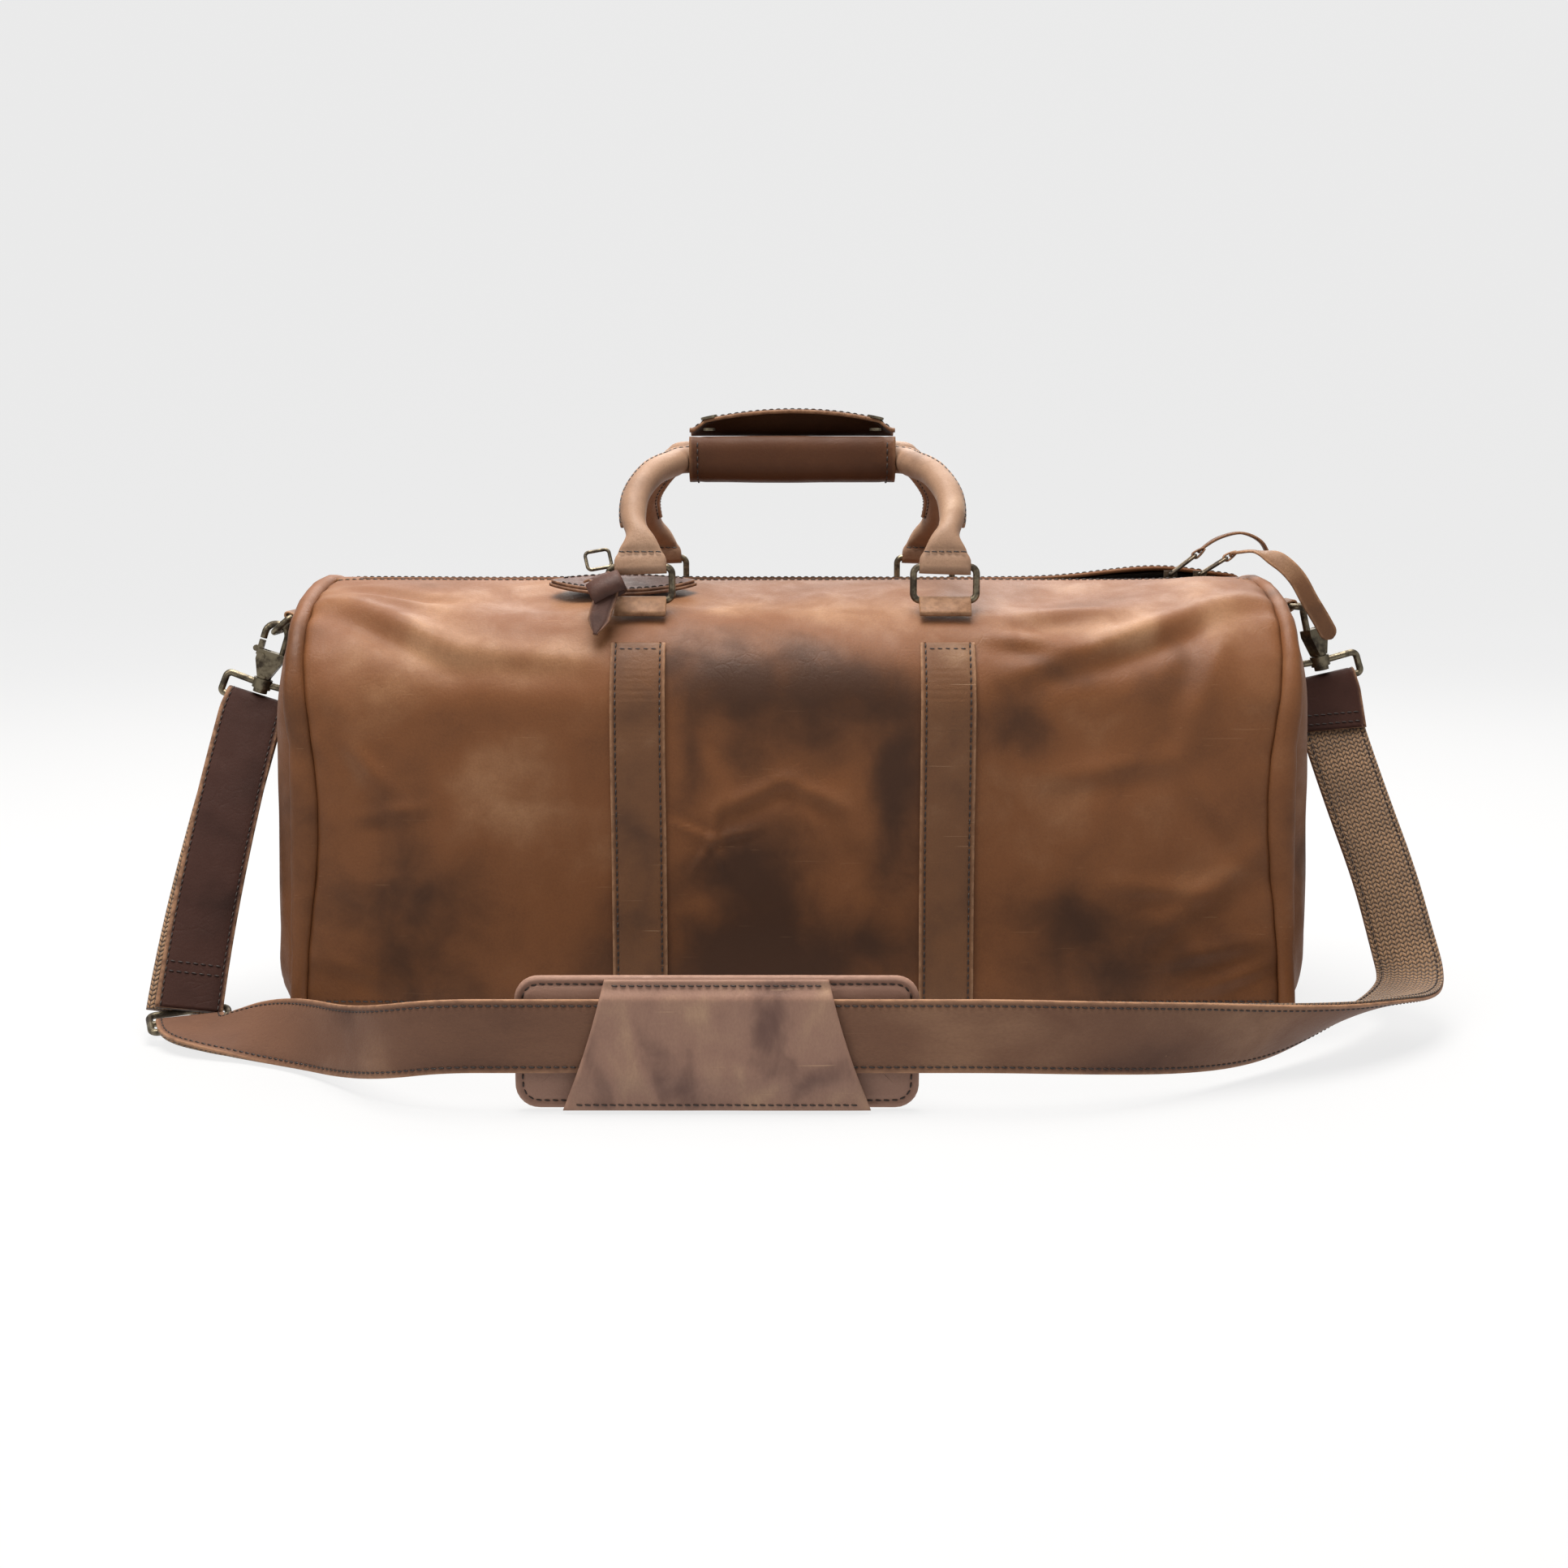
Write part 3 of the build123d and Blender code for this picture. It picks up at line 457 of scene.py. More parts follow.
grain = n.noise(given["Place"], 1500.0, 3.0, 0.6)
pebbles = n.add("ShaderNodeTexVoronoi", inputs={"Vector": given["Place"], "Scale": 620.0, "Randomness": 1.0})
wander = n.add("ShaderNodeTexNoise", output=1, inputs={"Vector": given["Place"], "Scale": 60.0})
wander = n.add("ShaderNodeVectorMath", inputs={0: wander, "Scale": 0.006}, operation="SCALE")
warped = n.move(given["Place"], wander)
lines = n.add("ShaderNodeTexVoronoi", inputs={"Vector": warped, "Scale": 95.0, "Randomness": 1.0},
              feature="DISTANCE_TO_EDGE")
lines = n.math("MULTIPLY", n.between(lines, 0.0, 0.09, 1.0, 0.0), n.between(small_clouds, 0.42, 0.66))
height = n.math("ADD", n.math("MULTIPLY", grain, 0.55), n.math("MULTIPLY", pebbles, -0.35))
height = n.math("SUBTRACT", height, n.math("MULTIPLY", lines, 0.30))
height = n.math("SUBTRACT", height, n.math("MULTIPLY", scratch, 0.4))
wax = n.between(small_clouds, 0.3, 0.7, 0.60, 0.47)
rough = n.math("ADD", wax, n.between(grain, 0.3, 0.7, -0.05, 0.06))
for socket, value in (("Colour", colour), ("Roughness", rough), ("Height", height)):
    n.tree.links.new(value, leave.inputs[socket])
print("hide group", len(n.tree.nodes), "nodes")

# %% The worn edge group
n, given, leave = group(
    "worn edge", {"Colour": "color", "Core": "color", "Place": "vector", "Amount": "value"},
    {"Colour": "color"},
)
worn = n.add("ShaderNodeAttribute", output="Fac", attribute_name="wear")
broken = n.between(n.noise(given["Place"], 220.0, 3.0, 0.6), 0.3, 0.65, 0.35, 1.0)
share = n.math("MULTIPLY", n.math("MULTIPLY", worn, broken), given["Amount"])
n.tree.links.new(n.mix(share, given["Colour"], given["Core"]), leave.inputs["Colour"])
print("worn edge group", len(n.tree.nodes), "nodes")


# %% Leather finishes
def new_finish(name):
    """An empty material.  Returns the material, its nodes and its Principled shader."""
    material = bpy.data.materials.new(name)
    material.use_nodes = True
    return material, Nodes(material.node_tree), material.node_tree.nodes["Principled BSDF"]


def leather(name, light, middle, dark, cloud=0.07, tone=0.0, contrast=1.6, scratches=1.0, core=None, edge=0.8,
            grain=0.00022, sheen=0.0, along=None, shine=0.22):
    """Waxed leather.  light, middle and dark are its three browns, cloud the size of its clouds
    in metres, core the raw colour at cut edges and grain the depth of its bumps in metres.  along
    stretches the pattern, as in leather that has been pulled one way.  shine is how much light
    the wax throws back."""
    material, n, shader = new_finish(name)
    place = n.add("ShaderNodeTexCoord", output="Object")
    if along:
        place = n.add("ShaderNodeMapping", inputs={"Vector": place, "Scale": along})
    own_tone = n.add("ShaderNodeAttribute", output="Fac", attribute_name="tone")
    node = n.add("ShaderNodeGroup", node_tree=bpy.data.node_groups["hide"]).node
    for label, value in (("Light", light), ("Middle", middle), ("Dark", dark)):
        node.inputs[label].default_value = (*value, 1)
    for label, value in (("Cloud Size", cloud), ("Contrast", contrast), ("Scratches", scratches)):
        node.inputs[label].default_value = value
    n.tree.links.new(place, node.inputs["Place"])
    n.tree.links.new(n.math("ADD", own_tone, tone), node.inputs["Tone"])
    worn = n.add("ShaderNodeGroup", node_tree=bpy.data.node_groups["worn edge"]).node
    worn.inputs["Core"].default_value = (*(core or light), 1)
    worn.inputs["Amount"].default_value = edge
    n.tree.links.new(place, worn.inputs["Place"])
    n.tree.links.new(node.outputs["Colour"], worn.inputs["Colour"])
    n.tree.links.new(worn.outputs["Colour"], shader.inputs["Base Color"])
    n.tree.links.new(node.outputs["Roughness"], shader.inputs["Roughness"])
    bumps = {"Height": node.outputs["Height"], "Distance": grain, "Strength": 0.8}
    bump = n.add("ShaderNodeBump", inputs=bumps)
    n.tree.links.new(bump, shader.inputs["Normal"])
    shader.inputs["Specular IOR Level"].default_value = shine
    shader.inputs["Sheen Weight"].default_value = sheen
    shader.inputs["Sheen Roughness"].default_value = 0.45
    shader.inputs["Sheen Tint"].default_value = (0.95, 0.85, 0.75, 1)
    return material


body_leather = leather(
    "body_leather", (0.37, 0.205, 0.108), (0.160, 0.060, 0.021), (0.046, 0.019, 0.009), cloud=0.085,
    contrast=1.05, scratches=0.25, core=(0.30, 0.17, 0.09),
)
band_leather = leather(
    "band_leather", (0.31, 0.185, 0.105), (0.135, 0.060, 0.027), (0.070, 0.033, 0.018), cloud=0.05,
    contrast=1.1, core=(0.36, 0.20, 0.11),
)
# the handles' paler browns are partly painted highlight: the palest is the colour of the sheen that the
# overhead light lays on their tops, mixed with the leather's own tone
handle_leather = leather(
    "handle_leather", (0.50, 0.345, 0.24), (0.27, 0.162, 0.103), (0.13, 0.072, 0.045), cloud=0.05,
    contrast=1.3, scratches=0.2, core=(0.34, 0.18, 0.10),
)
grip_leather = leather(
    "grip_leather", (0.16, 0.072, 0.036), (0.072, 0.028, 0.013), (0.038, 0.016, 0.009), cloud=0.06,
    contrast=1.1, scratches=0.2, core=(0.25, 0.13, 0.07), shine=0.14,
)
strap_finish = leather(
    "strap_leather", (0.30, 0.170, 0.100), (0.145, 0.072, 0.044), (0.075, 0.037, 0.026), cloud=0.09,
    contrast=1.3, scratches=0.4, core=(0.38, 0.205, 0.115), along=(0.5, 1, 1), shine=0.15,
)
# the strap leather made much darker: its own dark leather with painted shade, standing in for the shade where
# the strap doubles by the adjuster; the end tab at the right shares it
dark_and_shaded_strap_finish = leather(
    "dark_and_shaded_strap_leather", (0.070, 0.031, 0.022), (0.038, 0.016, 0.012), (0.020, 0.009, 0.007), cloud=0.06,
    contrast=1.3, scratches=0.1, core=(0.30, 0.165, 0.095), shine=0.06,
)
pad_finish = leather(
    "pad_leather", (0.36, 0.215, 0.155), (0.255, 0.145, 0.105), (0.170, 0.090, 0.066), cloud=0.06,
    contrast=0.9, scratches=0.4, core=(0.36, 0.21, 0.15),
)
cover_finish = leather(
    "cover_leather", (0.44, 0.285, 0.175), (0.27, 0.155, 0.112), (0.125, 0.068, 0.054), cloud=0.045,
    contrast=1.9, scratches=0.8, core=(0.30, 0.17, 0.12), along=(1, 1, 0.55),
)
tag_leather = leather(
    "tag_leather", (0.15, 0.072, 0.045), (0.070, 0.030, 0.021), (0.030, 0.014, 0.011), cloud=0.03,
    contrast=1.4, scratches=0.3, core=(0.26, 0.135, 0.075),
)
print("leathers ready")


# %% [markdown]
# ## Thread, webbing, cloth and old brass
#
# The thread is dark waxed polyester.  The strap's back is cotton webbing in a herringbone twill:
# on its flat chart, each column of yarns leans the other way from the next.  The hooks and rings
# are zinc cast and plated to look like old brass, brown in the hollows and rubbed bright on top.


# %% Thread, webbing and cloth
def plain_finish(name, colour, other, scale, roughness, metallic=0.0, depth=0.00005, coat=0.0):
    """A finish whose colour drifts between two shades, with a fine bump of the same pattern."""
    material, n, shader = new_finish(name)
    place = n.add("ShaderNodeTexCoord", output="Object")
    pattern = n.noise(place, scale, 4.0, 0.6)
    shade = n.mix(n.between(pattern, 0.3, 0.7), (*colour, 1), (*other, 1))
    n.tree.links.new(shade, shader.inputs["Base Color"])
    rough = n.between(pattern, 0.3, 0.7, roughness - 0.08, roughness + 0.08)
    n.tree.links.new(rough, shader.inputs["Roughness"])
    bump = n.add("ShaderNodeBump", inputs={"Height": pattern, "Distance": depth})
    n.tree.links.new(bump, shader.inputs["Normal"])
    shader.inputs["Metallic"].default_value = metallic
    shader.inputs["Coat Weight"].default_value = coat
    return material


thread = plain_finish("thread", (0.030, 0.015, 0.010), (0.012, 0.007, 0.006), 2500.0, 0.55)

n, given, leave = group(
    "twill", {"Chart": "vector", "Column": "value", "Pitch": "value"}, {"Yarn": "value", "Height": "value"}
)
parts = n.add("ShaderNodeSeparateXYZ", inputs={0: given["Chart"]}).node.outputs
leaning = n.math("PINGPONG", parts["Y"], given["Column"])
wave = n.math("DIVIDE", n.math("ADD", parts["X"], n.math("MULTIPLY", leaning, 0.85)), given["Pitch"])
ridge = n.math("ABSOLUTE", n.math("SINE", n.math("MULTIPLY", wave, pi)))
weft = n.math("MULTIPLY", n.math("DIVIDE", parts["Y"], given["Pitch"]), pi * 1.4)
cross = n.math("ABSOLUTE", n.math("SINE", weft))
height = n.math("MULTIPLY", n.math("POWER", ridge, 0.6), n.between(cross, 0.0, 0.6, 0.45, 1.0))
yarn = n.math("ADD", height, n.between(n.noise(given["Chart"], 900.0, 3.0), 0.3, 0.7, -0.2, 0.2))
n.tree.links.new(yarn, leave.inputs["Yarn"])
n.tree.links.new(height, leave.inputs["Height"])


def woven(name, light, dark, column, pitch, depth):
    """Woven cloth: the twill group laid on the piece's own flat chart."""
    material, n, shader = new_finish(name)
    chart = n.add("ShaderNodeUVMap", uv_map="flat")
    twill = n.add("ShaderNodeGroup", node_tree=bpy.data.node_groups["twill"]).node
    n.tree.links.new(chart, twill.inputs["Chart"])
    twill.inputs["Column"].default_value = column
    twill.inputs["Pitch"].default_value = pitch
    place = n.add("ShaderNodeTexCoord", output="Object")
    soil = n.between(n.noise(place, 45.0, 3.0), 0.3, 0.7, 0.78, 1.08)
    colour = n.mix(n.between(twill.outputs["Yarn"], 0.15, 0.95), (*dark, 1), (*light, 1))
    soil = n.add("ShaderNodeCombineColor", inputs={0: soil, 1: soil, 2: soil})
    colour = n.mix(1.0, colour, soil, "MULTIPLY")
    n.tree.links.new(colour, shader.inputs["Base Color"])
    bump = n.add("ShaderNodeBump", inputs={"Height": twill.outputs["Height"], "Distance": depth})
    n.tree.links.new(bump, shader.inputs["Normal"])
    shader.inputs["Roughness"].default_value = 0.85
    shader.inputs["Sheen Weight"].default_value = 0.25
    return material


webbing = woven("webbing", (0.29, 0.165, 0.083), (0.042, 0.018, 0.008), 2.1 * mm, 3.0 * mm, 0.0009)
zip_cloth = woven("zip_cloth", (0.040, 0.026, 0.019), (0.015, 0.010, 0.008), 3 * mm, 0.8 * mm, 0.0002)
lining_cloth = woven("lining_cloth", (0.13, 0.10, 0.075), (0.07, 0.052, 0.04), 2 * mm, 0.7 * mm, 0.0001)
print("woven finishes ready")


# %% Metals
def plated(name, rubbed, brown, wear=0.5, roughness=0.36):
    """Old plated metal: a rubbed colour and a brown patina, divided by a soft pattern."""
    material, n, shader = new_finish(name)
    place = n.add("ShaderNodeTexCoord", output="Object")
    patina = n.between(n.noise(place, 140.0, 5.0, 0.62), 0.62 - wear * 0.4, 0.80 - wear * 0.3)
    pits = n.noise(place, 1800.0, 3.0, 0.6)
    n.tree.links.new(n.mix(patina, (*rubbed, 1), (*brown, 1)), shader.inputs["Base Color"])
    rough = n.between(patina, 0.0, 1.0, roughness, roughness + 0.2)
    rough = n.math("ADD", rough, n.between(pits, 0.3, 0.7, -0.06, 0.06))
    n.tree.links.new(rough, shader.inputs["Roughness"])
    bump = n.add("ShaderNodeBump", inputs={"Height": pits, "Distance": 0.00004})
    n.tree.links.new(bump, shader.inputs["Normal"])
    shader.inputs["Metallic"].default_value = 0.92
    return material


old_brass = plated("antique_brass", (0.22, 0.185, 0.125), (0.060, 0.048, 0.035), wear=0.62)
zip_metal = plated("zip_metal", (0.16, 0.125, 0.085), (0.055, 0.043, 0.032), wear=0.6, roughness=0.42)
metal_nodes = {
    old_brass: [
        "front_left_ring", "front_right_ring", "back_left_ring", "back_right_ring", "left_d_ring",
        "right_d_ring", "left_hook", "right_hook", "left_hook_gate", "right_hook_gate", "left_gate_pin",
        "right_gate_pin", "left_swivel_loop", "right_swivel_loop", "strap_adjuster", "tag_buckle",
        "snap_caps", "snap_studs",
    ],
    zip_metal: ["zip_slider_left", "zip_slider_right", "pull_link_left", "pull_link_right"],
}
for finish, names in metal_nodes.items():
    for name in names:
        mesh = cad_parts[name].data
        mesh.materials.clear()
        mesh.materials.append(finish)
print(sum(map(len, metal_nodes.values())), "metal pieces keep their measured shape")

# %% [markdown]
# ## The shoulder strap
#
# The strap is leather in front and webbing behind, sewn together along both edges.  It comes out
# of the adjuster at the left, lies across the front of the bag, stands on its edge behind the
# pad, and turns up to the clip at the right.  One smooth spline gives its middle and a second
# one, with the same number of points moved half a width sideways, gives its edge.  Points with
# the same number on the two lines always belong together, so the strap can twist as it likes.


# %% The strap's route
strap_width = 38 * mm
strap_run = [
    ((-0.3465, -0.1170, 0.0120), (0.94, 0.33, 0.05)),
    ((-0.3435, -0.1275, 0.0105), (0.92, 0.38, 0.08)),
    ((-0.3340, -0.1385, 0.0105), (0.70, 0.66, 0.20)),
    ((-0.3180, -0.1465, 0.0125), (0.42, 0.78, 0.42)),
    ((-0.2980, -0.1560, 0.0155), (0.22, 0.68, 0.68)),
    ((-0.266, -0.182, 0.0195), (0.10, 0.35, 0.93)),
    ((-0.238, -0.216, 0.024), (0.03, 0.12, 0.99)),
    ((-0.212, -0.248, 0.032), (0.0, 0.03, 1.0)),
    ((-0.180, -0.266, 0.040), (0, 0, 1)),
    ((-0.140, -0.266, 0.040), (0, 0, 1)),
    ((0.060, -0.266, 0.040), (0, 0, 1)),
    ((0.105, -0.266, 0.040), (0, 0, 1)),
    ((0.150, -0.258, 0.037), (0, 0, 1)),
    ((0.200, -0.236, 0.031), (0, -0.02, 1)),
    ((0.250, -0.205, 0.025), (0.25, -0.30, 0.90)),
    ((0.292, -0.176, 0.025), (0.50, -0.55, 0.62)),
    ((0.326, -0.144, 0.026), (0.65, -0.68, 0.35)),
    ((0.352, -0.112, 0.025), (0.78, -0.62, 0.08)),
    ((0.364, -0.088, 0.029), (0.90, -0.42, -0.02)),
    ((0.362, -0.072, 0.048), (0.99, -0.12, 0.10)),
    ((0.355, -0.055, 0.084), (0.98, 0, 0.18)),
    ((0.343, -0.036, 0.124), (0.97, 0, 0.22)),
    ((0.332, -0.017, 0.164), (0.965, 0, 0.26)),
    ((0.327, -0.0065, 0.185), (0.97, 0, 0.23)),
]


def spline_line(points, name):
    """Places along the smooth line that a spline of order 3 draws with these control points."""
    curve = bpy.data.curves.new(name, "CURVE")
    curve.dimensions = "3D"
    spline = curve.splines.new("NURBS")
    spline.points.add(len(points) - 1)
    for spot, place in zip(spline.points, points):
        spot.co = (*place, 1)
    spline.order_u = 3
    spline.use_endpoint_u = True
    spline.resolution_u = 16
    holder = bpy.data.objects.new(name, curve)
    line = bpy.data.meshes.new_from_object(holder)
    places = np.empty(len(line.vertices) * 3)
    line.vertices.foreach_get("co", places)
    bpy.data.objects.remove(holder)
    bpy.data.curves.remove(curve)
    bpy.data.meshes.remove(line)
    return places.reshape(-1, 3)


route = np.array([place for place, _ in strap_run])
widths = unit(np.array([wide for _, wide in strap_run], float))
strap_middle = spline_line(route, "strap_middle")
strap_edge = spline_line(route + widths * strap_width / 2, "strap_edge")
strap_middle, strap_edge = even(strap_middle, 2.5 * mm, strap_edge)
strap_across = strap_edge - strap_middle

# %% Leather face and webbing back
profile, wear = strap_profile(strap_width, 2 * mm, 3.2 * mm, groove=0.3 * mm, low=0.05 * mm)
strap_face = strip(
    "shoulder_strap", strap_middle, strap_across, profile, "bag", strap_finish, "strap_leather", wear
)
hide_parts("strap_leather")
back_profile, _ = strap_profile(strap_width - 0.6 * mm, 1.7 * mm, 3.2 * mm, groove=0.2 * mm)
back_profile = back_profile * (1, -1) - (0, 0.05 * mm)
strap_back = strip(
    "shoulder_strap_webbing", strap_middle, strap_across, back_profile, "bag", webbing, "webbing"
)
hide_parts("strap_webbing")
across, up = across_and_up(strap_middle, strap_across)
for side in (-1, 1):
    line = strap_middle + across * side * (strap_width / 2 - 3.2 * mm)
    seam(line + up * 1.78 * mm, up, group="strap")
    seam(line - up * 1.62 * mm, -up, group="strap")
print("strap face and back laid")

# %% [markdown]
# ## The body: a shape as a function of two numbers
#
# Everything that lies on the bag needs to know where its leather is.  So the body's shape is one
# function: go a distance `t` round the section, starting at the zip and coming down the front,
# and stand `x` along the bag.  The section is made of arcs and straight lines, so its place and
# its outward direction are known exactly.  On top of that comes the *relief*: soft hollows,
# folds that run out of the corners, and puckers along the piped ends.

# %% The section as a function of distance
half_length, half_depth, bag_height = 0.280, 0.125, 0.260
shoulder_radius, shoulder_z = 62 * mm, 188 * mm
bottom_radius, seam_z = 18 * mm, 20 * mm
shoulder_y = half_depth - shoulder_radius
rise = bag_height - shoulder_z
crown_radius = (shoulder_y**2 + rise**2 - shoulder_radius**2) / (2 * (rise - shoulder_radius))
crown_z = bag_height - crown_radius
crown_turn = atan2(shoulder_y, shoulder_z - crown_z)
reach = np.cumsum([
    crown_radius * crown_turn,
    shoulder_radius * (pi / 2 - crown_turn),
    shoulder_z - bottom_radius,
    bottom_radius * pi / 2,
    half_depth - bottom_radius,
])
half_round = float(reach[-1])
mouth_t = 14 * mm
seam_t = float(reach[2]) - (seam_z - bottom_radius)


def section(t):
    """(y, z, outward y, outward z) at distance t round the section: crown arc, shoulder arc,
    straight side, bottom arc and flat bottom, then the same backwards up the other side."""
    t = np.asarray(t, float)
    s = np.where(t > half_round, 2 * half_round - t, t)
    side = np.where(t > half_round, 1.0, -1.0)
    a = s / crown_radius
    b = crown_turn + (s - reach[0]) / shoulder_radius
    c = pi / 2 + (s - reach[2]) / bottom_radius
    where = [s < reach[0], s < reach[1], s < reach[2], s < reach[3]]
    foot = half_depth - bottom_radius
    y = np.select(where, [
        crown_radius * np.sin(a), shoulder_y + shoulder_radius * np.sin(b), np.full_like(s, half_depth),
        foot + bottom_radius * np.sin(c),
    ], half_round - s)
    z = np.select(where, [
        crown_z + crown_radius * np.cos(a), shoulder_z + shoulder_radius * np.cos(b),
        shoulder_z - (s - reach[1]), bottom_radius + bottom_radius * np.cos(c),
    ], 0.0)
    out_y = np.select(where, [np.sin(a), np.sin(b), np.ones_like(s), np.sin(c)], 0.0)
    out_z = np.select(where, [np.cos(a), np.cos(b), np.zeros_like(s), np.cos(c)], -1.0)
    return side * y, z, side * out_y, out_z


print("half way round is", round(half_round, 3), "m")


# %% Relief: hollows, folds and puckers
def cloud(a, b, size, seed):
    """Smooth hills between -1 and 1: random heights on a square lattice, size apart, joined by
    the fade 3f^2 - 2f^3 in both directions."""
    heights = np.random.default_rng(seed).uniform(-1, 1, (64, 64))
    a, b = a / size, b / size
    i, j = np.floor(a).astype(int), np.floor(b).astype(int)
    f, g = a - i, b - j
    f, g = f * f * (3 - 2 * f), g * g * (3 - 2 * g)
    corner = lambda p, q: heights[p % 64, q % 64]
    near = corner(i, j) * (1 - f) + corner(i + 1, j) * f
    far = corner(i, j + 1) * (1 - f) + corner(i + 1, j + 1) * f
    return near * (1 - g) + far * g


def fold(x, t, start_x, start_t, end_x, end_t, width, height):
    """A fold along the line from start to end: a bell-shaped ridge with a shallower valley below
    it, fading past both ends."""
    dx, dt = end_x - start_x, end_t - start_t
    length = np.hypot(dx, dt)
    along = ((x - start_x) * dx + (t - start_t) * dt) / length
    away = ((t - start_t) * dx - (x - start_x) * dt) / length
    beyond = np.maximum(np.maximum(-along, along - length), 0)
    middle = np.sin(np.clip(along / length, 0, 1) * pi) * 0.5 + 0.5
    bell = np.exp(-((away / width) ** 2)) - 0.65 * np.exp(-(((away - 1.5 * width) / width) ** 2))
    return height * bell * middle * np.exp(-((beyond / (1.6 * width)) ** 2))


def bell(x, t, place, size):
    """A soft round hill of height one, of the given size each way."""
    return np.exp(-(((x - place[0]) / size[0]) ** 2) - ((t - place[1]) / size[1]) ** 2)


# from (x, round) to (x, round), width and height, all in millimetres
front_folds = np.array([
    (-262, 80, -190, 122, 9, 4), (-250, 60, -205, 72, 7, -2.5), (-190, 122, -120, 128, 8, 1.6),
    (-262, 150, -225, 215, 8, 1.6), (-245, 218, -212, 214, 5, 1.5), (-235, 200, -262, 172, 6, 1.2),
    (105, 112, 150, 120, 6, 2.2), (120, 98, 180, 88, 7, 2), (130, 135, 205, 108, 8, 2.6),
    (180, 120, 258, 82, 9, 3), (116, 150, 128, 200, 5, -1.4), (245, 110, 225, 170, 9, 1.8),
    (-46, 232, -20, 226, 2.6, 1.3), (-46, 232, -68, 222, 2.6, 1.1), (-46, 232, -36, 252, 2.4, 1.1),
    (-46, 232, -56, 250, 2.4, 0.9), (-46, 232, -42, 212, 2.6, 1), (-40, 214, -4, 198, 5, 1.7),
    (-4, 198, 26, 212, 5, 1.8), (26, 212, 50, 250, 7, 1.6), (4, 206, 20, 236, 4, 1),
    (-52, 165, -36, 198, 6, -1.2), (185, 258, 240, 262, 6, 1.5), (205, 282, 262, 245, 8, 2.2),
    (218, 300, 264, 290, 6, 1.8), (235, 318, 268, 305, 5, 1.4), (150, 196, 215, 186, 7, 1.3),
    (226, 196, 262, 236, 8, 1.5), (-255, 262, -222, 285, 7, 1), (-268, 300, -240, 310, 6, 1),
]) * mm
# x and distance round, size each way and height, all in millimetres
front_hills = np.array([
    (-145, 66, 30, 22, -4), (-30, 60, 70, 30, -1.5), (160, 60, 60, 26, -3),
    (-185, 240, 75, 70, 3.5), (0, 250, 60, 70, 2.5), (190, 240, 60, 70, 3),
    (245, 60, 30, 40, 4), (-245, 50, 30, 40, 2), (10, 180, 50, 20, -1.6),
    (160, 160, 30, 30, -1.4),
]) * mm


def relief(x, t):
    """How far the leather stands out from the plain section at (x, t)."""
    back = t > half_round
    s = np.where(back, 2 * half_round - t, t)
    # the back has the front's folds turned end for end, and lower
    across = np.where(back, -x, x)
    share = np.where(back, 0.8, 1.3)
    height = sum(fold(across, s, *made) for made in front_folds)
    height += sum(hill[4] * bell(across, s, hill[:2], hill[2:4]) for hill in front_hills)
    height *= share
    for tall, size, seed in ((1.4, 0.085, 3), (0.7, 0.036, 5), (0.16, 0.013, 8)):
        height += tall * mm * cloud(x, t, size, seed)
    from_end = half_length - 2 * mm - np.abs(x)
    pucker = np.sin(2 * pi * (t + 6 * mm * cloud(x, t, 0.05, 11)) / (24 * mm))
    height += 0.55 * mm * pucker * np.exp(-from_end / (14 * mm)) * (0.4 + 0.6 * np.abs(cloud(x, t, 0.09, 12)))
    # flatten the relief at the bands' tops, at the mouth and underneath
    for place in (-87 * mm, 87 * mm):
        height *= 1 - 0.92 * bell(across, s, (place, 0.104), (0.030, 0.030))
    height *= 1 - np.exp(-((s / (26 * mm)) ** 4)) * 0.9
    height *= 1 / (1 + np.exp((s - seam_t + 4 * mm) / (4 * mm))) * 0.9 + 0.1
    height -= 1.1 * mm * np.exp(-(((s - seam_t) / (1.6 * mm)) ** 2))
    height -= 2.0 * mm * np.exp(-from_end / (2.2 * mm))
    # the back edge of the mouth stands up a little where the zip ends
    height += np.where(back, 7 * mm * bell(x, s, (0.225, 0.020), (0.045, 0.034)), 0)
    underneath = s > reach[3] - 4 * mm
    return np.where(underneath, np.minimum(height, 0), height)


waist_pull = 0.038  # how much shorter the bag is at the waist, as a share


def waist(z):
    """How much of the ends' waist shows at height z: a bell centred half way up."""
    return np.exp(-(((z - 0.135) / 0.070) ** 2))


def waisted(x, z):
    """x pulled in towards the middle at half height, most at the two ends, as a soft bag sags."""
    return x * (1 - waist_pull * waist(z) * np.minimum(np.abs(x) / half_length, 1) ** 5)


def skin(x, t, out=0.0, soft=1.0):
    """Points on the bag's leather, or out from it.  soft is how much of the relief they share."""
    x, t = np.broadcast_arrays(np.asarray(x, float), np.asarray(t, float))
    y, z, out_y, out_z = section(t)
    lift = out + soft * relief(x, t)
    return np.stack([waisted(x, z), y + out_y * lift, z + out_z * lift], -1)


def skin_up(x, t):
    """The outward direction of the plain section at t."""
    _, _, out_y, out_z = section(np.broadcast_arrays(np.asarray(x, float), np.asarray(t, float))[1])
    return np.stack([np.zeros_like(out_y), out_y, out_z], -1)


print("shape functions ready")
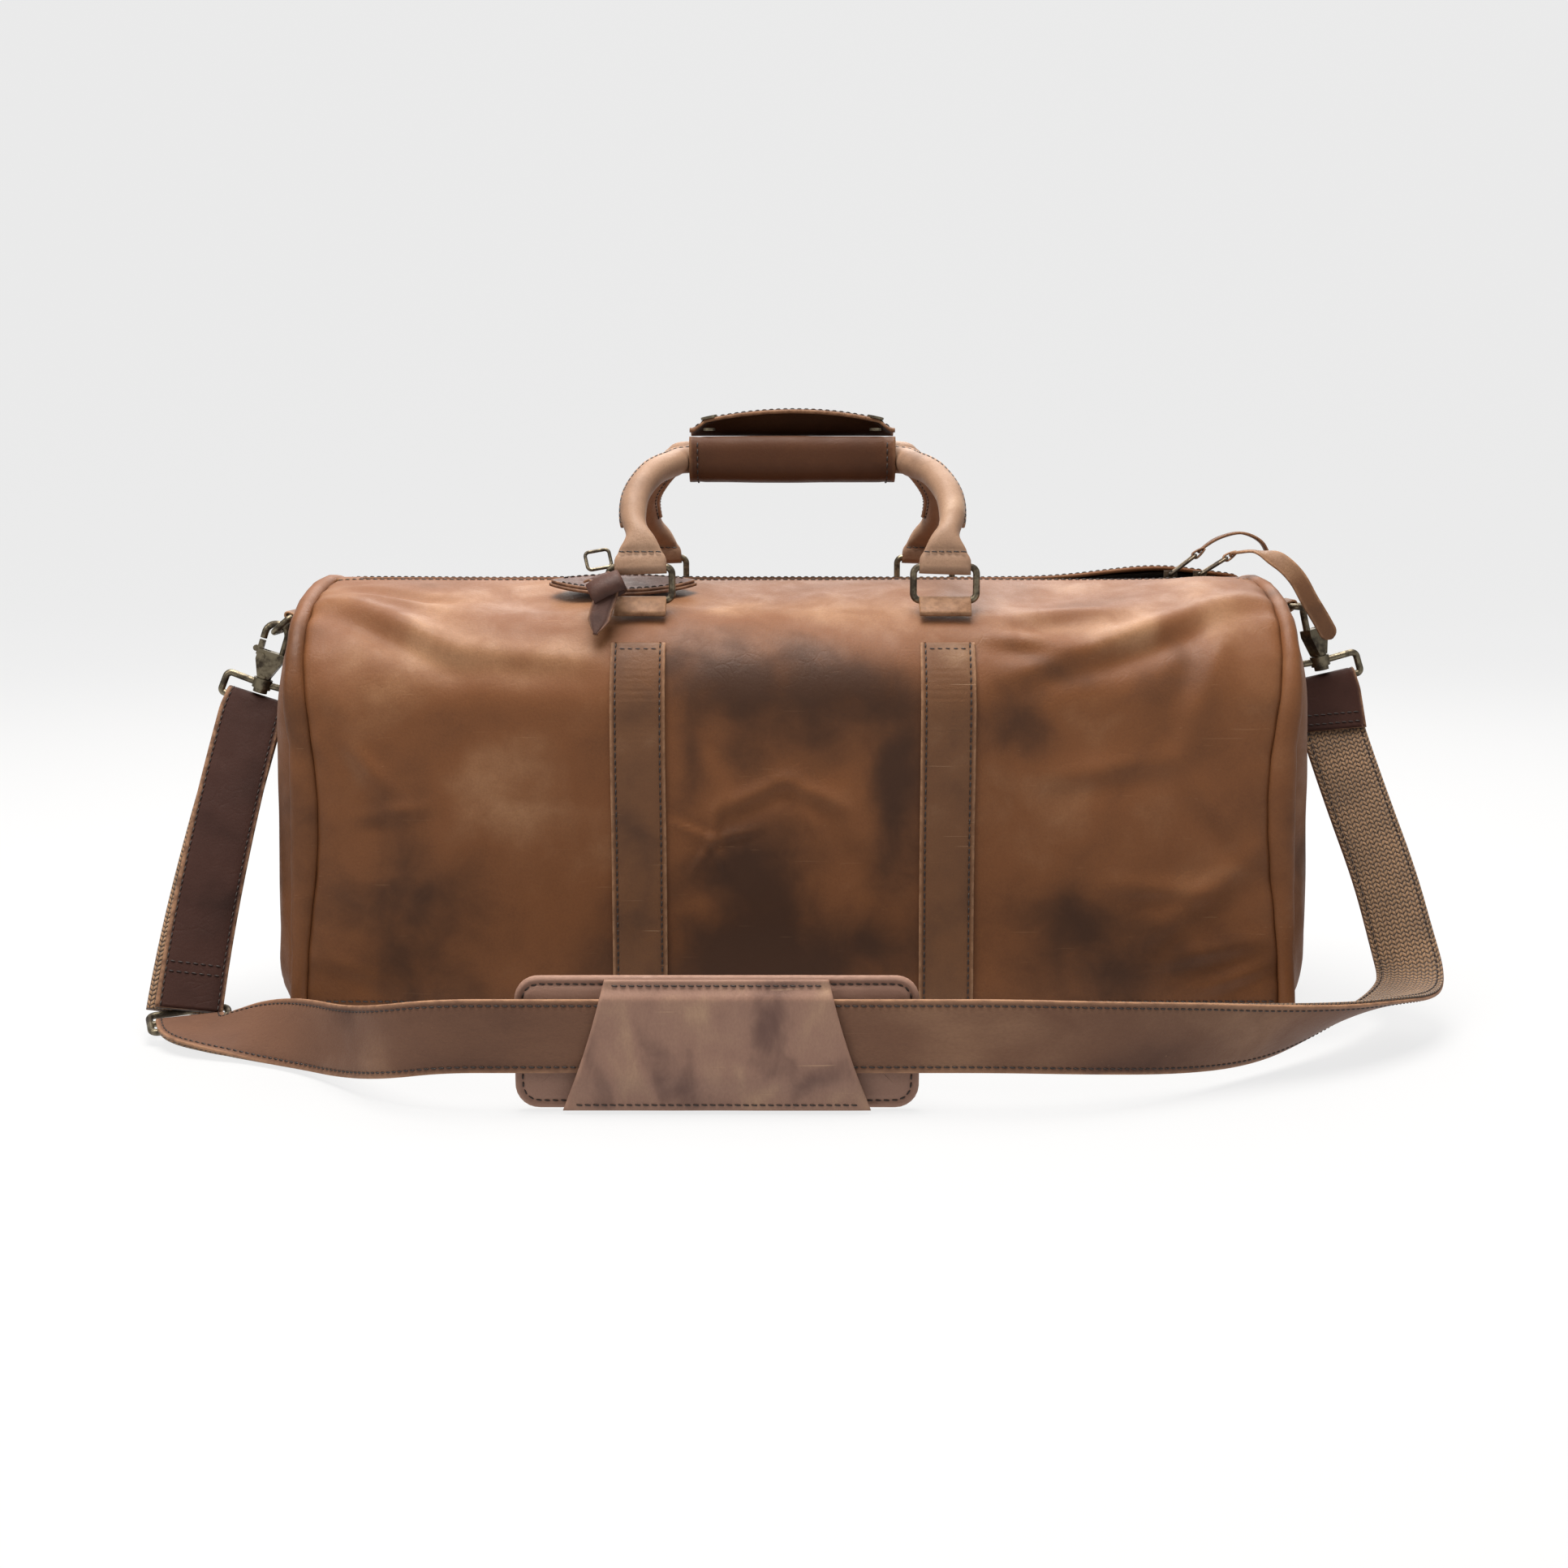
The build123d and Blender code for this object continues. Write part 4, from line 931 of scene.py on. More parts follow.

# %% [markdown]
# ### Panels
#
# The front and the back are one hide each, from the zip to the bottom seam, and the bottom is a
# third piece.  Each is a sheet 2.4 mm thick.  Waxed leather also has larger marks of its own:
# a rubbed pale corner, a dark patch below the handles.  They are listed as soft spots
# on the sheet and stored as a *tone* that the hide group adds to its own drift.
# The tone also holds a painted highlight along the top of the bag and painted shade towards its bottom.

# %% Tone spots
# x and distance round, size each way, in millimetres, and how much lighter it is
# the pale spots along the shoulder, 85 to 125 mm round, are partly painted highlight on the top-lit band, as
# well as the leather's own paler marks
front_spots = np.array([
    (-245, 125, 45, 50, 0.17), (-185, 120, 60, 18, 0.24), (-255, 200, 20, 90, 0.1),
    (-170, 190, 50, 45, 0.05), (-205, 262, 45, 20, -0.07), (-245, 300, 30, 30, 0.02),
    (-130, 165, 18, 30, -0.08), (-165, 225, 30, 20, 0.1), (-120, 290, 20, 40, -0.1),
    (0, 85, 80, 25, 0.22), (-30, 135, 50, 22, -0.2), (30, 150, 45, 25, -0.14),
    (-50, 190, 12, 35, 0.22), (-10, 208, 40, 10, 0.13), (-20, 240, 30, 22, -0.16),
    (35, 245, 18, 30, 0.12), (-50, 262, 16, 12, 0.14), (0, 300, 60, 22, -0.2),
    (60, 200, 14, 50, -0.14), (150, 105, 70, 22, 0.24), (205, 150, 50, 20, -0.03),
    (135, 165, 22, 30, -0.18), (185, 185, 50, 14, -0.08), (165, 222, 35, 26, 0.06),
    (215, 200, 25, 30, 0.1), (150, 268, 30, 22, -0.16), (235, 255, 30, 18, 0.12),
    (200, 300, 60, 30, -0.22), (255, 285, 16, 20, 0.06), (240, 90, 30, 30, 0.16),
])
front_spots[:, :4] *= mm


def tone_of(x, t):
    """How much lighter or darker than its hide each point is: the spots, a darker middle, a painted highlight
    along the top and painted shade towards the bottom.
    """
    back = t > half_round
    s = np.where(back, 2 * half_round - t, t)
    across = np.where(back, -x, x)
    worn_x = across + 0.012 * cloud(across, s, 0.05, 21) + 0.005 * cloud(across, s, 0.02, 22)
    worn_s = s + 0.010 * cloud(across, s, 0.05, 23) + 0.005 * cloud(across, s, 0.02, 24)
    spots = sum(spot[4] * bell(worn_x, worn_s, spot[:2], spot[2:4]) for spot in front_spots)
    # painted highlight: the crown is made lighter, as where the overhead lamp falls
    painted_top_highlight = 0.06 * np.exp(-((s / 0.11) ** 4))
    middle = -0.13 * np.exp(-((across - 0.005) / 0.075) ** 4) * (1 - np.exp(-((s / 0.12) ** 4)))
    # painted shade: the panels are made darker towards the bottom, away from the overhead light
    low = -0.10 * np.clip((s - 0.20) / 0.12, 0, 1)
    return (spots + middle) * np.where(back, 0.6, 1.0) + painted_top_highlight + low


# %% The three panels
panel_end = half_length - 2 * mm
panels = {
    "front_panel": (mouth_t, seam_t),
    "bottom_panel": (seam_t, 2 * half_round - seam_t),
    "back_panel": (2 * half_round - seam_t, 2 * half_round - mouth_t),
}
hide_thickness, gap = 2.4 * mm, 2.4 * mm
for name, (start, stop) in panels.items():
    x = np.linspace(-panel_end, panel_end, int(2 * panel_end / gap) + 1)
    t = np.linspace(start, stop, int((stop - start) / gap) + 1)
    xs, ts = np.meshgrid(x, t, indexing="ij")
    face = skin(xs, ts)
    inside = face - hide_thickness * skin_up(xs, ts)
    piece = sheet_mesh(
        f"{name}_leather", face, inside, "bag", body_leather, "body_leather", np.stack([xs, ts], -1),
        tone_of(xs, ts),
    )
    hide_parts(name)
    print(piece.name, len(piece.data.polygons), "faces")

# %% The lining and the board
xs, ts = np.meshgrid(
    np.linspace(1 * mm - panel_end, panel_end - 1 * mm, 90),
    np.linspace(26 * mm, 2 * half_round - 26 * mm, 140), indexing="ij",
)
crumple = 0.5 * mm * np.abs(cloud(xs, ts, 0.03, 31)) + 0.3 * mm * np.abs(cloud(xs, ts, 0.012, 32))
face = skin(xs, ts, out=-2.8 * mm) - crumple[..., None] * skin_up(xs, ts)
piece = sheet_mesh(
    "lining_cloth", face, face - 0.5 * mm * skin_up(xs, ts), "bag", lining_cloth, "lining_cloth",
    np.stack([xs, ts], -1),
)
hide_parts("lining")
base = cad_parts["base_board"].data
base.materials.clear()
base.materials.append(plain_finish("board", (0.23, 0.17, 0.11), (0.16, 0.115, 0.075), 300.0, 0.8))
print("lining", len(piece.data.polygons), "faces")

# %% [markdown]
# ### The two ends
#
# Each end is a separate piece of leather that domes out past a thick piped seam.  It is worked
# out from its rim inwards: `t` goes round the section and `r` runs from one at the rim to
# nought in the middle.  The dome rises as one minus a high power of `r`, so it is nearly flat
# in the middle and turns down steeply at the rim.

# %% End panels
def end_points(sign, t, r, out=0.0):
    """Points of an end panel: the section shrunk towards its middle by r, and domed by
    24 mm (1 - r^9), with gathers that fan out from the lower corners."""
    y, z, _, _ = section(t)
    middle, rim_gap = bag_height / 2, 7.5 * mm
    y, z = y * r * (1 - rim_gap / half_depth), middle + (z - middle) * r * (1 - rim_gap / middle)
    dome = 24 * mm * (1 - r**9)
    corner = np.exp(-((z / 0.05) ** 2)) * np.exp(-(((np.abs(y) - 0.10) / 0.05) ** 2))
    gather = np.sin(2 * pi * y / (15 * mm) + 3 * cloud(y, z, 0.04, 41)) * corner * 1.6 * mm * r**3
    sag = 2.2 * mm * cloud(y + sign, z, 0.08, 42) + 0.8 * mm * cloud(y + sign, z, 0.03, 43)
    slack = -2.5 * mm * np.exp(-(((z - 0.185) / 0.05) ** 2)) * (1 - r**4)
    x = panel_end + dome + (sag + slack + gather) * (1 - r**14) + out
    # the rim is drawn in with the seam, and the middle stays full
    x = x - waist_pull * half_length * waist(z) * r**6
    return np.stack([sign * x, y, z], -1)


for label, sign in both_ends:
    t = np.linspace(0, 2 * half_round, 241)[:-1]
    r = 1 - np.linspace(0, 1, 46) ** 1.5 * 0.9999  # the last ring is the closed pole
    ts, rs = np.meshgrid(t, r)
    face = end_points(sign, ts, rs)
    # the outside from the rim inwards, then the inside back out to the rim
    inside = end_points(sign, ts, rs * (1 - 2 * mm / half_depth), out=-2.2 * mm)
    rings = np.concatenate([face, inside[::-1]])
    piece = tube(f"{label}_end_leather", rings, "bag", body_leather, "body_leather", ring_closed=True)
    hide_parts(f"{label}_end_panel")
    print(piece.name, len(piece.data.polygons), "faces")

# %% [markdown]
# ### Piping
#
# The piping is a cord wrapped in a strip of the same leather and sewn into the seam.  It
# follows the section once round, pulled in at the waist with the panels, and swells and thins a
# little where the leather is drawn tight.

# %% Piping
piping_radius = 4.6 * mm
for label, sign in both_ends:
    t = np.linspace(0, 2 * half_round, 481)[:-1]
    y, z, out_y, out_z = section(t)
    turn = np.linspace(0, 2 * pi, 15)[:-1]
    swell = 1 + 0.06 * cloud(t, t * 0, 0.03, 51) + 0.03 * cloud(t, t * 0, 0.009, 52)
    inset = piping_radius - 1.4 * mm
    inset = np.where(out_z < -0.5, piping_radius + 0.4 * mm, inset)
    ring_y = y - out_y * inset
    ring_z = z - out_z * inset
    radius = piping_radius * swell
    broad = radius * (1 + 0.8 * waist(z))
    along_x = half_length - 2 * mm + broad[:, None] * (1 + np.cos(turn))
    outward = radius[:, None] * np.sin(turn)
    zs = ring_z[:, None] + out_z[:, None] * outward
    along_x = along_x - waist_pull * half_length * waist(zs)
    rings = np.stack([sign * along_x, ring_y[:, None] + out_y[:, None] * outward, zs], -1)
    piece = tube(f"{label}_piping_leather", rings, "bag", body_leather, "body_leather", ring_closed=True)
    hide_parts(f"{label}_piping")
    print(piece.name, round(float(rings[..., 2].min() / mm), 2), "mm above the floor")

# %% [markdown]
# ## The zip
#
# Two dark cloth tapes are sewn under the mouth's edges and a metal chain closes between them.
# The chain's teeth are small and there are hundreds, so one tooth is a block with a pinched
# middle, and all of them are copies of that one block in a single array.

# %% Tapes and teeth
low, high = corners("front_zip_tape")
for label, sign in both_sides:
    x = np.linspace(low[0], high[0], 181)
    y = np.linspace(0.0018, -low[1], 9)
    xs, ys = np.meshgrid(x, y, indexing="ij")
    height = high[2] - 0.15 * mm + 0.1 * mm * cloud(xs, ys, 0.02, 61)
    height += 0.2 * mm * np.exp(-(((ys - 3 * mm) / (0.8 * mm)) ** 2))
    face = np.stack([xs, sign * ys, height], -1)
    piece = sheet_mesh(
        f"{label}_zip_tape_cloth", face, face - (0, 0, 0.8 * mm), "bag", zip_cloth, "zip_cloth",
        np.stack([xs, ys], -1),
    )
    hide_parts(f"{label}_zip_tape")

low, high = corners("zip_chain")
tooth_pitch = 2.5 * mm
tooth = np.array([  # along the chain, across it and up, as shares of the tooth's size
    (-0.5, -0.15, 0), (0.5, -0.15, 0), (0.32, 0.62, 0), (-0.32, 0.62, 0),
    (-0.42, -0.10, 1), (0.42, -0.10, 1), (0.25, 0.55, 1), (-0.25, 0.55, 1),
])
block = np.array([(0, 3, 2, 1), (4, 5, 6, 7), (0, 1, 5, 4), (1, 2, 6, 5), (2, 3, 7, 6), (3, 0, 4, 7)])
count = int((high[0] - low[0]) / tooth_pitch) - 1
x = low[0] + tooth_pitch * (np.arange(count) + 0.8)
rows = []
for sign in (-1, 1):
    size = np.array([1.7 * mm, -sign * 3.6 * mm, high[2] - low[2] - 0.2 * mm])
    start = np.stack([
        x + (0.5 * tooth_pitch if sign > 0 else 0), np.full(count, sign * 1.75 * mm),
        np.full(count, low[2] + 0.1 * mm),
    ], 1)
    teeth = start[:, None] + tooth * size
    rows.append(teeth if sign < 0 else teeth[:, [1, 0, 3, 2, 5, 4, 7, 6]])
teeth = np.concatenate(rows)
faces = (block[None] + 8 * np.arange(len(teeth))[:, None, None]).reshape(-1, 4)
piece = build("zip_teeth", teeth.reshape(-1, 3), [(faces, None)], "bag", zip_metal, "zip_metal")
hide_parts("zip_chain")
print(len(teeth), "teeth")

# %% Leather tabs at the ends of the zip, and the stitched mouth
low, high = corners("zip_end_tabs")
tab_width, tab_length = high[1] - low[1], 14 * mm
profile, wear = strap_profile(tab_width, high[2] - low[2] - 0.1 * mm, 2.2 * mm, crown=0.3 * mm)
for label, start in (("left", low[0]), ("right", high[0] - tab_length)):
    run = np.stack([np.linspace(start, start + tab_length, 8), np.zeros(8), np.full(8, low[2] + 0.1 * mm)], 1)
    piece = strip(
        f"{label}_zip_end", run, np.tile((0, 1.0, 0), (8, 1)), profile, "bag", body_leather,
        "body_leather", wear,
    )
    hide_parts("zip_end_tabs")
x = np.linspace(-panel_end + 2 * mm, panel_end - 2 * mm, 400)
for from_zip in (mouth_t + 3.2 * mm, seam_t - 4 * mm):
    for t in (from_zip, 2 * half_round - from_zip):
        seam(skin(x, np.full_like(x, t)), skin_up(x, np.full_like(x, t)), group="body")
print("mouth sewn")

# %% [markdown]
# ## Bands and ring loops
#
# Four bands run from the bottom seam up to the rings.  Each lies on the body, so its path is
# the body's own surface at one `x`; the leather is stitched 3 mm in from both edges and
# cockles a little near the top where it has been pulled.  Above it the band is folded over
# the ring's lower bar and sewn back down.

# %% Bands
handle_half = 87 * mm
band_width, band_thickness, band_top = 31 * mm, 2 * mm, 119.5 * mm
bar_y, bar_z = 90.58 * mm, 250.593 * mm
band_profile, band_wear = strap_profile(band_width, band_thickness, 3.0 * mm, crown=0.25 * mm)


def on_side(side, t):
    """The distance round the section that is t on the front, or its match on the back."""
    return t if side == "front" else 2 * half_round - t


for side, way in both_sides:
    for end, sign in both_ends:
        t = np.linspace(band_top, seam_t - 1 * mm, 150)
        ts = on_side(side, t)
        x = np.full_like(t, sign * handle_half) + 0.5 * mm * cloud(t, t * 0 + sign, 0.06, 71)
        path = skin(x, ts, out=0.05 * mm)
        wide = np.tile((1.0, 0, 0), (len(t), 1)) * way * -1
        profile = np.tile(band_profile, (len(t), 1, 1))
        inner = np.exp(-((profile[..., 0] / (12 * mm)) ** 4))
        cockle = 0.30 * mm * np.sin(2 * pi * (t / (3.3 * mm)) + 4 * cloud(t, t * 0, 0.012, 72))
        cockle *= np.exp(-(((t - 0.150) / 0.030) ** 2)) * (0.4 + cloud(t, t * 0, 0.02, 73))
        profile[..., 1] += (profile[..., 1] > 1 * mm) * inner * cockle[:, None]
        piece = strip(
            f"{side}_{end}_band_leather", path, wide, profile, "bag", band_leather, "band_leather", band_wear
        )
        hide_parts(f"{side}_{end}_band")
        across, up = across_and_up(path, wide)
        for edge in (-1, 1):
            seam(path + across * edge * (band_width / 2 - 3 * mm) + up * 1.85 * mm, up, group="band")
        row = np.linspace(-band_width / 2 + 4.5 * mm, band_width / 2 - 4.5 * mm, 12)[:, None]
        seam(path[3] + across[3] * row + up[3] * 1.95 * mm, up[3], group="band")
print("four bands")

# %% Loops round the rings' lower bars


def loop_path(centre, normal, down, radius, tail, gap):
    """A path that comes up beside a bar, half round it, and down behind: two straight tails
    joined by an arc about the bar's centre."""
    turn = np.linspace(0, pi, 17)[:, None]
    arc = centre + radius * (normal * np.cos(turn) - down * np.sin(turn))
    steps = np.linspace(1, 0, 8)[:-1, None]
    front, rear = (
        centre + way * normal * (radius * (1 - steps**2) + end * steps**2) + down * tail * steps
        for way, end in zip((1, -1), gap)
    )
    return np.concatenate([front, arc, rear[::-1]])


loop_profile, loop_wear = strap_profile(29.5 * mm, 1.9 * mm)
for side, way in both_sides:
    for end, sign in both_ends:
        centre = np.array([sign * handle_half, way * bar_y, bar_z])
        slope = atan2(bar_y - shoulder_y, sqrt(shoulder_radius**2 - (bar_y - shoulder_y) ** 2)) + 0.12
        normal = np.array([0, way * sin(slope), cos(slope)])
        down = np.array([0, way * cos(slope), -sin(slope)])
        path = loop_path(centre, normal, down, 2.35 * mm, 12.5 * mm, (-0.2 * mm, 2.2 * mm))
        wide = np.tile((-way, 0, 0), (len(path), 1))
        piece = strip(
            f"{side}_{end}_ring_loop", path, wide, loop_profile, "bag", band_leather, "band_leather",
            loop_wear,
        )
        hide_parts(f"{side}_ring_loops")
print("ring loops folded")

# %% [markdown]
# ## Carry handles
#
# A rolled handle is a strip of leather sewn round a cord.  At each foot the roll opens out flat
# and folds round the ring's upper bar.  So a handle is one tube whose section changes along
# its path: a flat oval as wide as the ring at the foot, closing to a circle within two
# centimetres.  A sewn ridge runs along its inner side.

# %% Rolled handles
ring_height = 19 * mm
top_bar_z = bar_z + ring_height
tube_y, handle_radius, hand = 8.2 * mm, 7.8 * mm, 62 * mm


def ease(value, start, stop):
    """Nought before start, one after stop, and 3f^2 - 2f^3 between."""
    f = np.clip((value - start) / (stop - start), 0, 1)
    return f * f * (3 - 2 * f)


for side, way, tube_z in (("front", -1, 331 * mm), ("back", 1, 335 * mm)):
    foot_x = handle_half
    leg = np.array([
        (foot_x, way * bar_y, top_bar_z),
        (foot_x + 0.3 * mm, way * (bar_y - 2 * mm), top_bar_z + 8 * mm),
        (foot_x + 1 * mm, way * (bar_y - 6 * mm), top_bar_z + 16 * mm),
        (foot_x + 5 * mm, way * (bar_y - 18 * mm), top_bar_z + 28 * mm),
        (foot_x + 4 * mm, way * (bar_y - 34 * mm), top_bar_z + 41 * mm),
        (foot_x - 4 * mm, way * (bar_y - 53 * mm), top_bar_z + 53 * mm),
        (foot_x - 15 * mm, way * (bar_y - 70 * mm), tube_z - 2.5 * mm),
        (hand + 2 * mm, way * tube_y, tube_z),
        (hand * 0.5, way * tube_y, tube_z),
    ])
    run = through(np.concatenate([leg, (leg * (-1, 1, 1))[::-1]]), 2 * mm)
    start = run[:1] + (run[0] - run[1]) * np.linspace(2.1, 0.2, 8)[:, None]
    stop = run[-1:] + (run[-1] - run[-2]) * np.linspace(0.2, 2.1, 8)[:, None]
    run = np.concatenate([start, run, stop])
    far = distance_along(run)
    from_foot = np.minimum(far, far[-1] - far) - np.linalg.norm(start[0] - leg[0])
    open_ = 1 - ease(from_foot, 2 * mm, 24 * mm)
    neck = 1 - 0.16 * np.exp(-(((from_foot - 25 * mm) / (11 * mm)) ** 2))
    collar = 1 - ease(from_foot, 5.4 * mm, 7.0 * mm)
    wide = handle_radius * neck + (14.0 * mm - handle_radius) * open_ + 1.0 * mm * collar
    deep = handle_radius * neck + (3.0 * mm - handle_radius) * (1 - ease(from_foot, 3 * mm, 24 * mm))
    deep += 1.3 * mm * collar - 1.2 * mm * np.exp(-(((from_foot - 7.2 * mm) / (1.2 * mm)) ** 2))
    deep *= np.sqrt(np.clip(1 - (np.minimum(from_foot, 0) / (4.3 * mm)) ** 2, 0.01, 1))
    lumps = 1 + 0.03 * cloud(far, far * 0 + way, 0.03, 81)
    turn = np.linspace(0, 2 * pi, 29)[:-1]
    flat = 2 / (2 + 2.2 * open_[:, None])
    profile = np.stack([
        (wide * lumps)[:, None] * squared_off(np.cos(turn), flat),
        (deep * lumps)[:, None] * squared_off(np.sin(turn), flat),
    ], -1)
    along = directions(run)
    thick_way = unit(np.cross(along, np.cross(np.tile((0, float(way), 0), (len(run), 1)), along)))
    wide_way = np.cross(thick_way, along)
    rings = run[:, None] + wide_way[:, None] * profile[..., :1] + thick_way[:, None] * profile[..., 1:]
    chart = np.stack(np.meshgrid(far, np.linspace(0, 49 * mm, 29), indexing="ij"), -1)
    piece = tube(f"{side}_handle_leather", rings, "carry_handles", handle_leather, "handle_leather", chart)
    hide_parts(f"{side}_handle", f"{side}_handle_core")
    # the sewn ridge lies on the side of the tube that faces down and inwards
    first = np.searchsorted(from_foot, 24 * mm) + 4
    roll = slice(first, len(run) - first)
    inner = unit(wide_way[roll] * -0.94 + thick_way[roll] * -0.34)
    spine = run[roll] + inner * (handle_radius - 0.3 * mm)
    ridge = np.array([(1.6, -0.6), (1.0, 0.9), (0.4, 1.5), (-0.4, 1.5), (-1.0, 0.9), (-1.6, -0.6)]) * mm
    beside = np.cross(along[roll], inner)
    rings = spine[:, None] + beside[:, None] * ridge[:, :1] + inner[:, None] * ridge[:, 1:]
    tube(
        f"{side}_handle_ridge", rings, "carry_handles", handle_leather, "handle_leather", wear=np.full(6, 0.4)
    )
    for edge in (-1, 1):
        out = unit(inner + 0.35 * edge * beside)
        seam(run[roll] + out * (handle_radius - 0.05 * mm), out, "carry_handles", "handle", lift=0.05 * mm)
    # a row of stitches across each foot, above the bar
    for foot in (leg[0], leg[0] * (-1, 1, 1)):
        for face in (-1, 1):
            row = np.linspace(-12.5 * mm, 12.5 * mm, 12)[:, None] * np.array([1.0, 0, 0])
            rise_up = np.array([0, way * -1.9 * mm, 7.6 * mm])
            out = np.array([0, face * 0.96, face * way * 0.26])
            seam(foot + rise_up + row + out * 4.1 * mm, out, "carry_handles", "handle", lift=0.05 * mm)
print("handles rolled")

# %% [markdown]
# ## The grip and its flap
#
# A broad wrap holds the two handles together.  Its section is a rounded box that isn't closed
# on top; a flap is sewn along the back edge and closes over the gap with two snaps near the
# grip's ends.  Its front edge is free between them, so it bows up there.

# %% Grip wrap
grip_low, grip_high = corners("grip_wrap")
grip_z = (grip_low[2] + grip_high[2]) / 2
grip_y, grip_up = (grip_high[1] - grip_low[1]) / 2, (grip_high[2] - grip_low[2]) / 2
x = np.linspace(-hand, hand, 100)
angle = np.linspace(radians(127), radians(127 + 281), 90)
xs, angles = np.meshgrid(x, angle, indexing="ij")
lobe = 2 / 3.0
bulge = 1 + 0.02 * np.sin(pi * (xs / hand * 0.5 + 0.5)) + 0.010 * cloud(xs, angles * 0.02, 0.02, 91)
bulge -= 0.020 * np.exp(-(((hand - np.abs(xs)) - 6 * mm) / (2 * mm)) ** 2)
squeeze = 1 - 0.5 * mm / grip_y
ring_y = grip_y * squeeze * bulge * squared_off(np.cos(angles), lobe)
ring_z = grip_up * squeeze * bulge * squared_off(np.sin(angles), lobe)
face = np.stack([xs, -ring_y, grip_z + ring_z], -1)
wrap = 2.2 * mm
inside = np.stack([xs, -ring_y * (1 - wrap / grip_y), grip_z + ring_z * (1 - wrap / grip_up)], -1)
edge_wear = np.exp(-(((hand - np.abs(xs)) / (1.2 * mm)) ** 2))
grip = sheet_mesh(
    "grip_leather", face[:, ::-1], inside[:, ::-1], "carry_handles", grip_leather, "handle_leather",
    np.stack([xs, angles * grip_y], -1)[:, ::-1], wear=edge_wear[:, ::-1],
)
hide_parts("grip_wrap")
for column in (np.argmin(np.abs(x + hand - 5 * mm)), np.argmin(np.abs(x - hand + 5 * mm))):
    ring = face[column]
    out = unit(ring - np.array([ring[:, 0].mean(), 0, grip_z]))
    out[:, 0] = 0
    seam(ring[6:-6] + 0.1 * mm * out[6:-6], out[6:-6], "carry_handles", "grip")
print("grip wrapped")

# %% Flap
flap_low, flap_high = corners("grip_flap")
x = np.linspace(-hand, hand, 90)
v = np.linspace(0, 1, 24)
xs, vs = np.meshgrid(x, v, indexing="ij")
bow = 1 - (xs / hand) ** 2
at_end = ease(np.abs(xs), 51 * mm, 62 * mm)
front_edge = flap_low[1] + 1.2 * mm * (np.abs(xs) / hand) ** 8 * 3
grip_top = lambda y: grip_z + grip_up * (1 - np.abs(y / grip_y) ** 3) ** (1 / 3)
ys = flap_high[1] - 1 * mm + (front_edge - flap_high[1] + 1 * mm) * vs
lift = flap_low[2] + 0.3 * mm + 8 * mm * bow * ease(vs, 0.0, 0.55)
lift += 1.0 * mm * np.sin(pi * vs) + 0.5 * mm * cloud(xs, ys, 0.03, 95) - 2.4 * mm * (1 - vs) ** 3
lift += (grip_top(ys) + 0.3 * mm - lift) * np.maximum(at_end, 1 - ease(vs, 0, 0.35))
face = np.stack([xs, ys, lift + 2.1 * mm], -1)
back = np.stack([xs, ys, lift], -1)
edge_wear = np.exp(-((np.minimum(hand - np.abs(xs), (1 - vs) * 29 * mm) / (1.3 * mm)) ** 2))
flap = sheet_mesh(
    "flap_leather", face, back, "grip_flap", grip_leather, "handle_leather", np.stack([xs, ys], -1),
    wear=edge_wear,
)
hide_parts("grip_flap")
seam(face[2:-2, 20], (0, 0, 1), "grip_flap", "flap")
print("flap bowed", round(float((face[..., 2].max() - face[..., 2].min()) / mm), 1), "mm")

# %% [markdown]
# ## The strap's two folded ends
#
# At the left the strap is doubled: leather and webbing go up, round the clip's loop and back
# down to the adjuster, where two rows of cross stitches hold them.  At the right a short leather
# tab is folded round the other clip's loop and sewn to the strap.  Both are one path each: up
# beside the bar, half round it, and down the other side.

# %% Folding a strap round a bar
loop_wire, fold_gap = 2.1 * mm, 0.7 * mm
# from the anchor to the D-ring's far end, and from the hook's throat to the loop's bar
ring_reach, hook_reach = 14 * mm, (28 + 2.6 + 15.75) * mm
anchors = {"left": (306 * mm, 236 * mm), "right": (304 * mm, 243 * mm)}


def hung(sign, anchor_x, anchor_z, drop, tilt):
    """(middle, direction) of the bar that the strap hangs from: out from the anchor by the
    D-ring, down the hook's own axis by its throat, and down again to the loop's bar."""
    drop, tilt = radians(drop), radians(tilt)
    out = np.array([sign * cos(drop), 0, -sin(drop)])
    up = np.array([-sign * sin(tilt), 0, cos(tilt)])
    middle = np.array([sign * anchor_x, 0, anchor_z]) + out * ring_reach - up * hook_reach
    return middle, np.array([cos(tilt), 0, sign * sin(tilt)])


